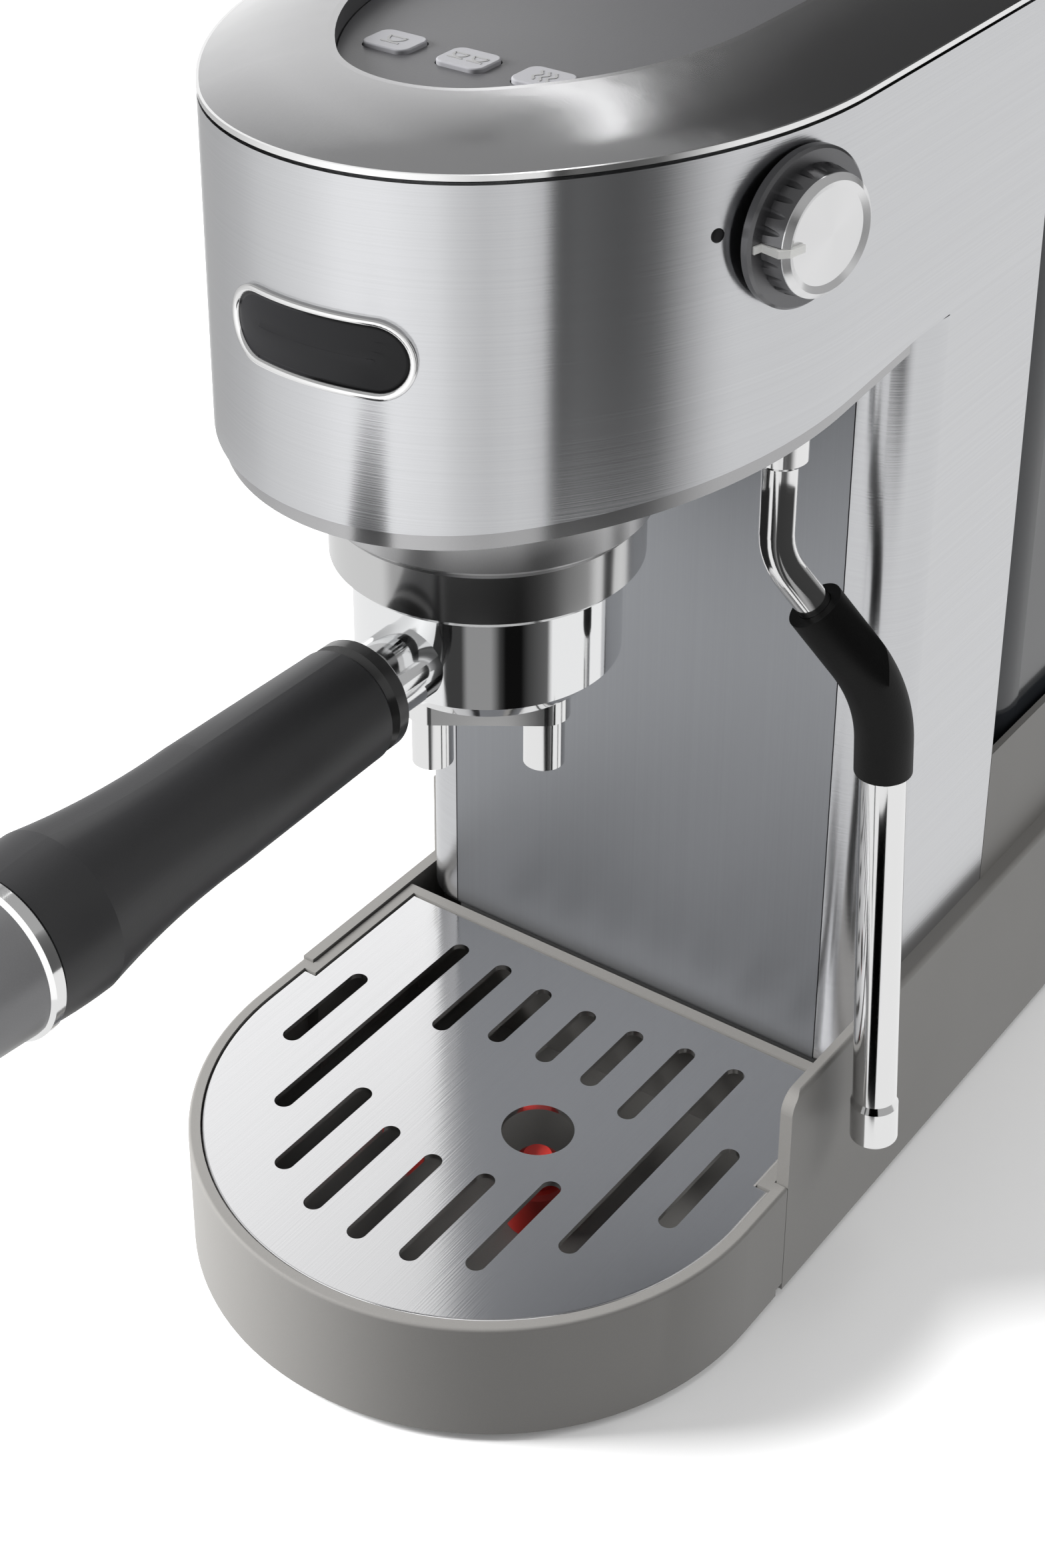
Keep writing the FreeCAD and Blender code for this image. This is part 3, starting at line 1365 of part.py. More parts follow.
outlet_at = (0, S.outlet_row, 0)
tank_valve = body("tank_valve", outlet_at)
half = sketch(tank_valve, "profile", "XZ")
tank_floor = tank_low + S.tank_wall
wire(half, [
    (2, S.base_top - 6), (S.outlet_round - 1, S.base_top - 6), (S.outlet_round, S.base_top - 4),
    (S.outlet_round, tank_floor), (S.outlet_round + 4, tank_floor),
    (S.outlet_round + 4, tank_floor + 3), (2, tank_floor + 3),
])
revolve(tank_valve, half)
dock = body("tank_dock", outlet_at)
half = sketch(dock, "profile", "XZ")
deck_low = S.base_top - S.deck_thick
dock_low = deck_low - 12
dock_bore = S.outlet_round + S.sheet_gap
wire(half, [
    (S.hose_round, dock_low), (S.hose_round * 1.6, dock_low), (S.hose_round * 1.6, deck_low - 5),
    (S.outlet_round * 2 + 3, deck_low - 3), (S.outlet_round * 2 + 3, deck_low),
    (S.outlet_round * 2, deck_low), (S.outlet_round * 2, S.base_top - 0.4),
    (dock_bore, S.base_top - 0.4),
    (dock_bore, deck_low - 4), (S.hose_round, deck_low - 4),
])
revolve(dock, half)

# Inside: heater block over the group, pump on rubber, hoses and the control board
heater = body("heater_block")
plan = sketch(heater, "plan", "XY", shelf_top)
heater_rear = S.group_row + S.bowl_round * 1.2
rounded(
    plan, -S.bowl_round * 1.2, S.group_row - S.bowl_round, S.bowl_round * 1.2, heater_rear, Size(6.0)
)
pad(heater, plan, S.block_tall)
inlet = sketch(heater, "inlet", "XZ", -heater_rear)
inlet_high = shelf_top + S.block_tall / 2
circle(inlet, S.pump_across, inlet_high, S.hose_round)
pad(heater, inlet, 6, back=True)

mounts = body("pump_mount", (S.pump_across, S.pump_row, 0))
half = sketch(mounts, "profile", "XZ")
mount_high = S.base_top + S.mount_thick
wire(half, [
    (S.hose_round * 2, S.base_top), (S.pump_round, S.base_top), (S.pump_round - 2, mount_high),
    (S.hose_round * 2, mount_high),
])
revolve(mounts, half)
pump = body("pump", (S.pump_across, S.pump_row, 0))
half = sketch(pump, "profile", "XZ")
pump_high = mount_high + S.pump_tall
neck_low = pump_high + S.coil_neck
hose_low = neck_low + S.neck_long + 4
nipple_low = S.base_top - S.deck_thick - 6
wire(half, [
    (0, nipple_low), (S.hose_round, nipple_low), (S.hose_round, mount_high), (S.pump_round, mount_high),
    (S.pump_round, pump_high), (S.pump_round * 0.6, pump_high),
    (S.pump_round * 0.6, neck_low), (S.hose_round, neck_low + 4), (S.hose_round, hose_low),
    (0, hose_low),
])
revolve(pump, half)

hose = body("pressure_hose", (S.pump_across, S.pump_row, 0))
route = sketch(hose, "route", "YZ")
hose_run = heater_rear + 6 - S.pump_row
wire(route, [
    (0, hose_low), (0, inlet_high - S.hose_bend), (-S.hose_bend, inlet_high),
    (hose_run, inlet_high),
], {1: (S.hose_bend, -1)}, closed=False)
ring = sketch(hose, "ring", "XY", hose_low)
circle(ring, 0, 0, S.hose_round)
pipe(hose, ring, route)

across = -S.pump_across
along = S.outlet_row - S.pump_row
suction_turn = Rotation(Vector(0, 0, 1), math.degrees(math.atan2(along.value, across.value)))
suction = body("suction_hose", (S.pump_across, S.pump_row, 0), suction_turn)
route = sketch(suction, "route", "XZ")
suction_run = root(across * across + along * along)
suction_low = nipple_low - S.hose_bend * 1.5
wire(route, [
    (0, nipple_low), (0, suction_low + S.hose_bend), (S.hose_bend, suction_low),
    (suction_run - S.hose_bend, suction_low), (suction_run, suction_low + S.hose_bend),
    (suction_run, dock_low),
], {1: (S.hose_bend, -1), 3: (S.hose_bend, -1)}, closed=False)
ring = sketch(suction, "ring", "XY", nipple_low)
circle(ring, 0, 0, S.hose_round)
pipe(suction, ring, route)

control = body("control_board")
plan = sketch(control, "plan", "XZ", -(frame_rear + S.board_stud))
rectangle(plan, board_left, board_low, board_right, board_high)
pad(control, plan, S.board_thick, back=True)

# Check every object, then write each piece to its own file
doc.recompute()
failed = [
    made.Label for made in doc.Objects if any(state in made.State for state in ("Invalid", "Error"))
]
if failed:
    raise RuntimeError(f"failed objects: {failed}")
for made in doc.Objects:
    if made.TypeId in ("PartDesign::Pocket", "PartDesign::Groove"):
        if made.Shape.Volume >= made.BaseFeature.Shape.Volume - 0.01:
            raise RuntimeError(f"{made.Label} cuts nothing")
    if made.TypeId == "PartDesign::Pad" and made.BaseFeature:
        if made.Shape.Volume <= made.BaseFeature.Shape.Volume + 0.001:
            raise RuntimeError(f"{made.Label} adds nothing")
for made in SOLIDS:
    if made.Shape.isNull() or not made.Shape.isValid() or made.Shape.Volume <= 0:
        raise RuntimeError(f"{made.Label} is not a sound solid")
os.makedirs("parts", exist_ok=True)
for made in SOLIDS:
    made.Shape.exportStep(f"parts/{made.Label}.step")
    box = made.Shape.BoundBox
    print(
        f"{made.Label}: {len(made.Shape.Solids)} solid(s), {made.Shape.Volume / 1000:.1f} cm3, "
        f"x {box.XMin:.1f}..{box.XMax:.1f}, y {box.YMin:.1f}..{box.YMax:.1f}, "
        f"z {box.ZMin:.1f}..{box.ZMax:.1f}"
    )
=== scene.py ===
"""Looks of a slim pump espresso machine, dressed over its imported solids."""

import logging
import math
from dataclasses import dataclass
from enum import Enum
from typing import Callable

import bpy
import numpy as np
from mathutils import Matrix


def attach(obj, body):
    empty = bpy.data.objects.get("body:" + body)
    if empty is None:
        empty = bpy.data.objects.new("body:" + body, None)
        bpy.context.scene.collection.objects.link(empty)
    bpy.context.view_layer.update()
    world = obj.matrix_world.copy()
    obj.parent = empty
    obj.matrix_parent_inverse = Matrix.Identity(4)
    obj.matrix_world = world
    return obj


LOG = logging.getLogger("espresso_machine")
MM = 0.001
# What may feed a node's input: another node's output, a number or a row of numbers.
Value = bpy.types.NodeSocket | float | tuple[float, ...]


class Lay(Enum):
    """Which way the brushing lines run on a piece of steel, as stretches of the noise."""

    AROUND = (6.0, 6.0, 2600.0)
    UPRIGHT = (1800.0, 1800.0, 5.0)
    LENGTHWISE = (2200.0, 8.0, 300.0)


def feed(tree: bpy.types.NodeTree, entry: bpy.types.NodeSocket, value: Value) -> None:
    """Give a node's input a link or a plain value.

    Args:
        tree: The tree that the node belongs to.
        entry: The input.
        value: The output that feeds it, or its plain value.
    """
    if isinstance(value, bpy.types.NodeSocket):
        tree.links.new(value, entry)
    else:
        entry.default_value = value


def node(
    tree: bpy.types.NodeTree, kind: str, inputs: dict[str | int, Value] | None = None,
    out: str | int = 0, **settings: object,
) -> bpy.types.NodeSocket:
    """Add a shader node and feed its inputs.

    Args:
        tree: The tree that it joins.
        kind: The node's type, without the leading ShaderNode.
        inputs: What feeds each input, by its name or number.
        out: The name or number of the output that is wanted.
        settings: The node's own settings, which are set first because they choose its inputs.

    Returns:
        The wanted output.
    """
    made = tree.nodes.new(f"ShaderNode{kind}")
    for name, value in settings.items():
        setattr(made, name, value)
    for name, value in (inputs or {}).items():
        feed(tree, made.inputs[name], value)
    return made.outputs[out]


def calc(
    tree: bpy.types.NodeTree, operation: str, first: Value, second: Value
) -> bpy.types.NodeSocket:
    """Add a math node.

    Args:
        tree: The tree that it joins.
        operation: What it works out.
        first: What feeds its first input.
        second: What feeds its second input.

    Returns:
        Its result.
    """
    return node(tree, "Math", {0: first, 1: second}, operation=operation)


@dataclass(frozen=True)
class Effect:
    """A shader node group that several finishes share: fine noise under broad soft marks."""

    name: str
    fine_detail: float
    marks_scale: float
    marks_detail: float
    bump_height: float = 0.0001

    def tree(self) -> bpy.types.NodeTree:
        """Build the group, or give the one already built.

        Returns:
            A group with the inputs Vector, Place, Grain, Depth and Smudge and the outputs Shade,
            Rough and Normal. Vector and Grain lay the fine noise, and Place lays the marks.
        """
        known = bpy.data.node_groups.get(self.name)
        if known:
            return known
        group = bpy.data.node_groups.new(self.name, "ShaderNodeTree")
        for way, kind, names in (
            ("INPUT", "Vector", ("Vector", "Place")),
            ("INPUT", "Float", ("Grain", "Depth", "Smudge")),
            ("OUTPUT", "Float", ("Shade", "Rough")),
            ("OUTPUT", "Vector", ("Normal",)),
        ):
            for name in names:
                group.interface.new_socket(name=name, in_out=way, socket_type=f"NodeSocket{kind}")
        given = group.nodes.new("NodeGroupInput").outputs
        result = group.nodes.new("NodeGroupOutput").inputs
        fine = node(group, "TexNoise", {
            "Vector": given["Vector"], "Scale": given["Grain"], "Detail": self.fine_detail,
        }, "Fac")
        marks = node(group, "TexNoise", {
            "Vector": given["Place"], "Scale": self.marks_scale, "Detail": self.marks_detail,
        }, "Fac")
        normal = node(group, "Bump", {
            "Distance": self.bump_height, "Strength": given["Depth"], "Height": fine,
        }, "Normal")
        feed(group, result["Shade"], fine)
        feed(group, result["Rough"], calc(group, "MULTIPLY", marks, given["Smudge"]))
        feed(group, result["Normal"], normal)
        return group


BRUSHING = Effect("brushed_lines", 3.0, 14.0, 2.0)
MOULDING = Effect("moulded_grain", 2.0, 22.0, 3.0)


@dataclass(frozen=True)
class Band:
    """A zone of a piece, between two levels in millimetres, with its own colour and gloss."""

    low: float
    high: float
    colour: tuple[float, float, float]
    rough: float
    way: tuple[float, float, float] = (0.0, 0.0, 1.0)


@dataclass(frozen=True)
class Finish:
    """A surface finish: its colour, its gloss and how uneven both are.

    Shade, smudge and depth are how much its colour, roughness and relief vary. Lay is the way
    of its brushing, if it has any. Otherwise grain is the scale of its moulded grain. Anisotropy
    stretches its highlights along circles round the axis, and spin turns that stretch, where 1
    is a full turn. Its name isn't one of the record's slots.
    """

    name: str
    colour: tuple[float, float, float]
    rough: float
    metal: float = 0.0
    coat: float = 0.0
    coat_rough: float = 0.08
    lay: Lay | None = None
    grain: float = 3000.0
    depth: float = 0.15
    smudge: float = 0.06
    shade: float = 0.06
    anisotropy: float = 0.0
    spin: float = 0.0
    axis: str = "Z"
    specular: float = 0.5
    alpha: float = 1.0
    band: Band | None = None

    def material(self) -> bpy.types.Material:
        """Build the material, or give the one already built.

        Returns:
            A Principled material whose colour, roughness and normal vary with the effect group.
        """
        known = bpy.data.materials.get(self.name)
        if known:
            return known
        made = bpy.data.materials.new(self.name)
        made.use_nodes = True
        tree = made.node_tree
        place = node(tree, "TexCoord", out="Object")
        way, grain, group = place, self.grain, MOULDING.tree()
        if self.lay:
            way = node(tree, "Mapping", {"Vector": place, "Scale": self.lay.value})
            grain, group = 1.0, BRUSHING.tree()
        effect = node(tree, "Group", {
            "Vector": way, "Place": place, "Grain": grain, "Depth": self.depth,
            "Smudge": self.smudge,
        }, node_tree=group).node.outputs
        low, high = (
            (*(min(value * level, 1.0) for value in self.colour), 1.0)
            for level in (1 - self.shade, 1 + self.shade)
        )
        colour = node(
            tree, "Mix", {"Factor": effect["Shade"], "A": low, "B": high}, "Result",
            data_type="RGBA",
        )
        rough = calc(tree, "ADD", effect["Rough"], self.rough - self.smudge / 2)
        if self.band:
            colour, rough = self.banded(tree, place, colour, rough)
        shader = tree.nodes["Principled BSDF"]
        for name, value in (
            ("Base Color", colour), ("Roughness", rough), ("Normal", effect["Normal"]),
            ("Metallic", self.metal), ("Specular IOR Level", self.specular),
            ("Coat Weight", self.coat), ("Coat Roughness", self.coat_rough),
            ("Anisotropic", self.anisotropy), ("Anisotropic Rotation", self.spin),
            ("Alpha", self.alpha),
        ):
            feed(tree, shader.inputs[name], value)
        if self.anisotropy:
            tangent = node(tree, "Tangent", direction_type="RADIAL", axis=self.axis)
            feed(tree, shader.inputs["Tangent"], tangent)
        return made

    def banded(
        self, tree: bpy.types.NodeTree, place: bpy.types.NodeSocket,
        colour: bpy.types.NodeSocket, rough: bpy.types.NodeSocket,
    ) -> tuple[bpy.types.NodeSocket, bpy.types.NodeSocket]:
        """Mix the band's colour and roughness in between its two levels.

        Args:
            tree: The material's tree.
            place: Its object coordinates.
            colour: The colour outside the band.
            rough: The roughness outside the band.

        Returns:
            The colour and the roughness of the whole piece. The mask is 1 where the distance
            along the band's way is over the low level and under the high one.
        """
        level = node(
            tree, "VectorMath", {0: place, 1: self.band.way}, "Value", operation="DOT_PRODUCT"
        )
        over = calc(tree, "GREATER_THAN", level, self.band.low * MM)
        under = calc(tree, "LESS_THAN", level, self.band.high * MM)
        mask = calc(tree, "MULTIPLY", over, under)
        tint = node(
            tree, "Mix", {"Factor": mask, "A": colour, "B": (*self.band.colour, 1.0)}, "Result",
            data_type="RGBA",
        )
        return tint, node(tree, "Mix", {"Factor": mask, "A": rough, "B": self.band.rough}, "Result")


@dataclass(frozen=True)
class PlainFinish:
    """A finish of one colour and one gloss, which the record gives for the slot of its name."""

    name: str

    def material(self) -> bpy.types.Material:
        """Give the material that the frame brings for that slot."""
        return bpy.data.materials[self.name]


HEAD_STEEL = Finish(
    "brushed_head_steel", (0.6, 0.605, 0.62), 0.2, 1.0, lay=Lay.AROUND, depth=0.2,
    smudge=0.03, shade=0.05, anisotropy=0.8, spin=0.25,
)
# Satin steel for the splash plate. Its roughness and upright brushing are the plate's own, but its
# colour is kept far darker than the head's steel to paint the shade that falls under the head.
SHADED_SPLASH_STEEL = Finish(
    "satin_splash_steel", (0.36, 0.37, 0.39), 0.48, 1.0, lay=Lay.UPRIGHT, depth=0.2,
    smudge=0.03, shade=0.04,
)
GRID_STEEL = Finish(
    "polished_grid_steel", (0.9, 0.9, 0.91), 0.13, 1.0, lay=Lay.LENGTHWISE, depth=0.12,
    smudge=0.04, shade=0.03,
)
BOWL_CHROME = Finish(
    "bowl_chrome", (0.84, 0.845, 0.85), 0.06, 1.0, depth=0.01, smudge=0.02, shade=0.01,
    band=Band(193.6, 209.0, (0.6, 0.6, 0.6), 0.15),
)
DULL_CHROME = Finish("dull_chrome", (0.5, 0.5, 0.505), 0.28, 1.0, depth=0.02, smudge=0.04)
SATIN_GREY = Finish(
    "satin_grey_bezel", (0.42, 0.42, 0.425), 0.17, 0.95, depth=0.03, smudge=0.05, shade=0.03,
    grain=2200.0,
)
BASE_GREY = Finish(
    "warm_grey_base", (0.185, 0.18, 0.172), 0.45, 0.1, depth=0.12, smudge=0.08, shade=0.05
)
PLATE_GREY = Finish("dark_top_plate", (0.055, 0.055, 0.058), 0.36, depth=0.15, shade=0.1)
BADGE_BLACK = Finish("badge_black", (0.006, 0.006, 0.007), 0.35, depth=0.02, specular=0.25)
MATT_BLACK = Finish("soft_black_handle", (0.016, 0.016, 0.017), 0.38, depth=0.12, shade=0.15)
CAP_GREY = Finish("grey_end_cap", (0.2, 0.2, 0.205), 0.32, 0.5, depth=0.08)
KNOB_METAL = Finish(
    "knob_metal", (0.16, 0.16, 0.165), 0.26, 1.0, depth=0.04, smudge=0.05, anisotropy=0.9,
    spin=0.25, axis="X",
    band=Band(87.9, 95.0, (0.78, 0.78, 0.785), 0.22, (0.9779, -0.2091, 0.0)),
)
RUBBER = Finish(
    "black_rubber", (0.005, 0.005, 0.005), 0.55, depth=0.3, grain=1800.0, shade=0.2, specular=0.22,
)
TANK_SMOKE = Finish(
    "smoked_tank", (0.03, 0.033, 0.038), 0.16, coat=0.4, depth=0.02, smudge=0.05, alpha=0.86
)
ICON_GREY = Finish("icon_grey", (0.2, 0.2, 0.2), 0.4, depth=0.02)
BRASS = Finish("turned_brass", (0.6, 0.42, 0.18), 0.3, 1.0, lay=Lay.AROUND, depth=0.2)
STAINLESS = Finish("plain_stainless", (0.6, 0.6, 0.61), 0.25, 1.0, depth=0.03)
CHROME = PlainFinish("chrome")
DARK_PLASTIC = PlainFinish("dark_plastic")
BUTTON_GREY = PlainFinish("button_grey")
GLOSS_BLACK = PlainFinish("gloss_black")
WHITE_MARK = PlainFinish("white_mark")
FLOAT_RED = PlainFinish("float_red")
CAST_ALLOY = PlainFinish("cast_alloy")
BOARD_GREEN = PlainFinish("board_green")
HOSE_WHITE = PlainFinish("hose_white")

DRESS: dict[Finish | PlainFinish, tuple[str, ...]] = {
    HEAD_STEEL: ("steel_casing",),
    SHADED_SPLASH_STEEL: ("splash_plate",),
    GRID_STEEL: ("cup_grid",),
    CHROME: (
        "twin_spout", "wand_tube", "wand_sleeve", "wand_tip", "handle_ring", "top_trim",
        "wand_nut",
    ),
    BOWL_CHROME: ("portafilter_holder",),
    DULL_CHROME: ("group_collar",),
    SATIN_GREY: ("top_bezel", "head_bottom_cover"),
    BASE_GREY: ("base_housing", "drip_tray", "tank_surround"),
    DARK_PLASTIC: (
        "rear_panel", "inner_frame", "base_floor", "tank_dock", "tank_valve", "button_switches",
        "pump",
    ),
    PLATE_GREY: ("top_plate",),
    BUTTON_GREY: ("button_left", "button_middle", "button_right"),
    GLOSS_BLACK: ("handle_flange",),
    MATT_BLACK: ("handle_grip",),
    CAP_GREY: ("handle_cap",),
    KNOB_METAL: ("steam_knob",),
    WHITE_MARK: ("knob_pointer",),
    RUBBER: ("rubber_feet", "tray_feet", "wand_grip", "group_gasket", "cord_gland", "pump_mount"),
    TANK_SMOKE: ("water_tank", "tank_lid"),
    FLOAT_RED: ("tray_float",),
    CAST_ALLOY: ("heater_block",),
    BRASS: ("steam_valve", "group_core"),
    STAINLESS: (
        "filter_basket", "shower_screen", "screen_screw", "base_screws", "knob_shaft", "lid_pin",
    ),
    BOARD_GREEN: ("button_board", "control_board"),
    HOSE_WHITE: ("pressure_hose", "suction_hose"),
}


def dress_solids() -> None:
    """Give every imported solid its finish."""
    for finish, names in DRESS.items():
        for name in names:
            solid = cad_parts[name]
            solid.data.materials.clear()
            solid.data.materials.append(finish.material())
            LOG.info("%s wears %s", name, finish.name)


def grid_mesh(
    name: str, points: np.ndarray, closed_u: bool, material: bpy.types.Material,
    caps: tuple[bool, bool] = (False, False),
) -> bpy.types.Object:
    """Make an object from a grid of points.

    Args:
        name: The piece's name.
        points: Points in metres, shaped rows by columns by 3. Each cell becomes one face.
        closed_u: True where the last column joins the first.
        material: What it wears.
        caps: Whether a face closes the first row, and whether one closes the last row.

    Returns:
        The object, smooth shaded.
    """
    rows, columns = points.shape[:2]
    index = np.arange(rows * columns).reshape(rows, columns)
    right = np.roll(index, -1, axis=1) if closed_u else index[:, 1:]
    left = index if closed_u else index[:, :-1]
    faces = np.stack([left[:-1], right[:-1], right[1:], left[1:]], axis=-1).reshape(-1, 4).tolist()
    faces += [index[0, ::-1].tolist()] * caps[0] + [index[-1].tolist()] * caps[1]
    mesh = bpy.data.meshes.new(name)
    mesh.from_pydata(points.reshape(-1, 3).tolist(), [], faces)
    mesh.polygons.foreach_set("use_smooth", np.ones(len(mesh.polygons), dtype=bool))
    mesh.update()
    made = bpy.data.objects.new(name, mesh)
    bpy.context.collection.objects.link(made)
    mesh.materials.append(material)
    return made


def pill(half_long: float, half_tall: float, count: int) -> np.ndarray:
    """Outline of a pill: two half circles joined by straight sides.

    Args:
        half_long: Half its length.
        half_tall: Half its height, which is also the radius of its ends.
        count: How many points.

    Returns:
        Points, counted evenly along the outline, anticlockwise, shaped count by 2.
    """
    straight = half_long - half_tall
    arc = math.pi * half_tall
    total = 2 * arc + 4 * straight
    run = np.linspace(0.0, total, count, endpoint=False)
    bend = np.clip(run, 0, arc) / half_tall - math.pi / 2
    second = np.clip(run - arc - 2 * straight, 0, arc) / half_tall + math.pi / 2
    on_right = run < arc
    on_top = (run >= arc) & (run < arc + 2 * straight)
    on_left = (run >= arc + 2 * straight) & (run < 2 * arc + 2 * straight)
    x = np.select(
        [on_right, on_top, on_left],
        [straight + half_tall * np.cos(bend), straight - (run - arc),
         -straight + half_tall * np.cos(second)],
        -straight + (run - 2 * arc - 2 * straight),
    )
    y = np.select(
        [on_right, on_top, on_left],
        [half_tall * np.sin(bend), np.full(count, half_tall), half_tall * np.sin(second)],
        -half_tall,
    )
    return np.stack([x, y], axis=-1)


@dataclass(frozen=True)
class RoundSpot:
    """A spot on an upright round face of the head, in millimetres, onto which pills are bent.

    The face's axis stands at middle. Facing is the spot's angle round it from +X, in degrees.
    """

    middle: tuple[float, float]
    radius: float
    facing: float
    height: float

    def rings(
        self, half_long: float, half_tall: float, profile: tuple[tuple[float, float], ...],
        count: int,
    ) -> np.ndarray:
        """Run a profile round a pill that lies on the face.

        Args:
            half_long: Half the pill's length.
            half_tall: Half its height.
            profile: Pairs of inset from the outline and distance off the face.
            count: Points round the outline.

        Returns:
            Rows of points in metres, one row for each pair. A point's angle round the face is
            its distance along the face over the face's radius.
        """
        rows = []
        for inset, out in profile:
            flat = pill(half_long - inset, half_tall - inset, count)
            angle = math.radians(self.facing) + flat[:, 0] / self.radius
            x = self.middle[0] + (self.radius + out) * np.cos(angle)
            y = self.middle[1] + (self.radius + out) * np.sin(angle)
            rows.append(np.stack([x, y, self.height + flat[:, 1]], axis=-1) * MM)
        return np.stack(rows)


@dataclass
class NoseBadge:
    """A bare pill-shaped plate on the round nose of the head, with a raised bright rim.

    Aside is how far along the steel its middle lies to the right of the nose's, sunk how deep
    the rim's foot reaches into the steel, and pole half the height of the plate's last ring,
    which a flat face closes.
    """

    nose_middle: tuple[float, float] = (0.0, -82.49)
    nose_round: float = 54.0
    height: float = 268.0
    aside: float = 2.5
    half_long: float = 22.4
    half_tall: float = 8.6
    rim: float = 1.6
    proud: float = 1.3
    sunk: float = 0.2
    pole: float = 0.02
    count: int = 96

    def build(self) -> None:
        """Make the rim and the inset plate, and let both ride on the machine."""
        facing = math.degrees(self.aside / self.nose_round) - 90.0
        spot = RoundSpot(self.nose_middle, self.nose_round, facing, self.height)
        proud, rim, sunk = self.proud, self.rim, self.sunk
        edge_rows = (
            (0.0, -sunk), (0.0, proud * 0.7), (rim * 0.15, proud * 0.92), (rim * 0.4, proud),
            (rim * 0.7, proud * 0.95), (rim, proud * 0.6), (rim * 1.02, proud * 0.25),
            (rim * 1.02, -sunk), (0.0, -sunk),
        )
        plate_rows = (
            (rim * 0.9, proud * 0.3), (rim * 1.5, proud * 0.32), (rim * 3.0, proud * 0.45),
            (self.half_tall * 0.8, proud * 0.5), (self.half_tall - self.pole, proud * 0.5),
        )
        for name, rows, finish, capped, slot in (
            ("badge_rim", edge_rows, CHROME, False, "chrome"),
            ("badge_plate", plate_rows, BADGE_BLACK, True, "gloss_black"),
        ):
            points = spot.rings(self.half_long, self.half_tall, rows, self.count)
            piece = grid_mesh(name, points, True, finish.material(), (capped, capped))
            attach(piece, "machine")
            LOG.info("made %s", piece.name)


@dataclass
class SideDot:
    """A small plain dot beside the steam knob, on the head's long side arc.

    Its profile holds pairs of inset from its edge and distance off the steel.
    """

    spot: RoundSpot = RoundSpot((-40.0, -43.3), 110.0, -22.6, 287.9)
    half: float = 1.5
    profile: tuple[tuple[float, float], ...] = (
        (0.0, -0.1), (0.0, 0.1), (0.3, 0.16), (1.0, 0.18), (1.48, 0.18)
    )
    count: int = 40

    def build(self) -> None:
        """Make the dot and let it ride on the machine."""
        points = self.spot.rings(self.half, self.half, self.profile, self.count)
        dot = grid_mesh("knob_dot", points, True, BADGE_BLACK.material(), (True, True))
        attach(dot, "machine")
        LOG.info("made %s", dot.name)


def strip(
    name: str, path: np.ndarray, width: float, level: float, material: bpy.types.Material,
    proud: float = 0.1, sunk: float = 0.02,
) -> bpy.types.Object:
    """Make a thin raised line along a flat path.

    Args:
        name: The piece's name.
        path: Points in millimetres, shaped count by 2.
        width: The line's width.
        level: The height that it lies on.
        material: What it wears.
        proud: How far it stands over that height.
        sunk: How far it reaches under it.

    Returns:
        A closed strip with flat faces. Its sides lie half the width to the left and right of
        the path, along the path's normal.
    """
    way = np.gradient(path, axis=0)
    way /= np.linalg.norm(way, axis=1, keepdims=True)
    side = np.stack([-way[:, 1], way[:, 0]], axis=-1) * width / 2
    low = np.full(len(path), level - sunk)
    high = np.full(len(path), level + proud)
    corners = [
        np.column_stack([path + side, high]), np.column_stack([path - side, high]),
        np.column_stack([path - side, low]), np.column_stack([path + side, low]),
    ]
    made = grid_mesh(name, np.stack(corners, axis=1) * MM, True, material, (True, True))
    made.data.polygons.foreach_set("use_smooth", np.zeros(len(made.data.polygons), dtype=bool))
    return made


@dataclass
class ButtonIcons:
    """Plain line icons on the three buttons: one cup, two cups and a wisp of steam.

    Row is the buttons' middle row, pitch the step from button to button, and level the height
    of their tops. A cup's bowl reaches cup_half to each side and cup_deep down from its rim.
    """

    row: float = -82.0
    pitch: float = 18.5
    level: float = 309.5
    line: float = 0.55
    cup_points: int = 24
    cup_half: float = 2.0
    cup_deep: float = 2.6
    cup_rise: float = 1.4
    saucer_half: float = 2.2
    saucer_drop: float = 3.3
    twin_scale: float = 0.8
    twin_shift: float = 2.4
    twin_rise: float = 1.2
    steam_points: int = 30
    steam_half: float = 2.6
    steam_gap: float = 1.7
    steam_wave: float = 0.45
    steam_bends: float = 2.0

    def cup(self, x: float, y: float, scale: float) -> list[np.ndarray]:
        """Draw a cup.

        Args:
            x: Its middle line.
            y: The row of its rim.
            scale: Its size, where 1 is a single cup's.

        Returns:
            The paths of its bowl, which is half an ellipse, its straight rim and its saucer.
        """
        turn = np.linspace(math.pi, 2 * math.pi, self.cup_points)
        bowl = np.column_stack([self.cup_half * np.cos(turn), self.cup_deep * np.sin(turn)])
        rim = np.array([[-self.cup_half, 0.0], [self.cup_half, 0.0]])
        saucer = np.array([
            [-self.saucer_half, -self.saucer_drop], [self.saucer_half, -self.saucer_drop]
        ])
        return [np.array([x, y]) + path * scale for path in (bowl, rim, saucer)]

    def wisp(self, x: float, y: float) -> list[np.ndarray]:
        """Draw steam.

        Args:
            x: Its middle line.
            y: Its middle row.

        Returns:
            The paths of three sine waves side by side.
        """
        run = np.linspace(-self.steam_half, self.steam_half, self.steam_points)
        wave = self.steam_wave * np.sin(run * self.steam_bends)
        return [
            np.column_stack([x + number * self.steam_gap + wave, y + run])
            for number in (-1, 0, 1)
        ]

    def build(self) -> None:
        """Make each icon and let it ride on its own button."""
        twins = [
            self.cup(side * self.twin_shift, self.row + self.twin_rise, self.twin_scale)
            for side in (-1, 1)
        ]
        plans: dict[str, list[np.ndarray]] = {
            "left_button": self.cup(-self.pitch, self.row + self.cup_rise, 1.0),
            "middle_button": twins[0] + twins[1],
            "right_button": self.wisp(self.pitch, self.row),
        }
        wear = ICON_GREY.material()
        for body, paths in plans.items():
            for number, path in enumerate(paths):
                line = strip(f"{body}_icon_{number}", path, self.line, self.level, wear)
                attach(line, body)
                LOG.info("made %s", line.name)


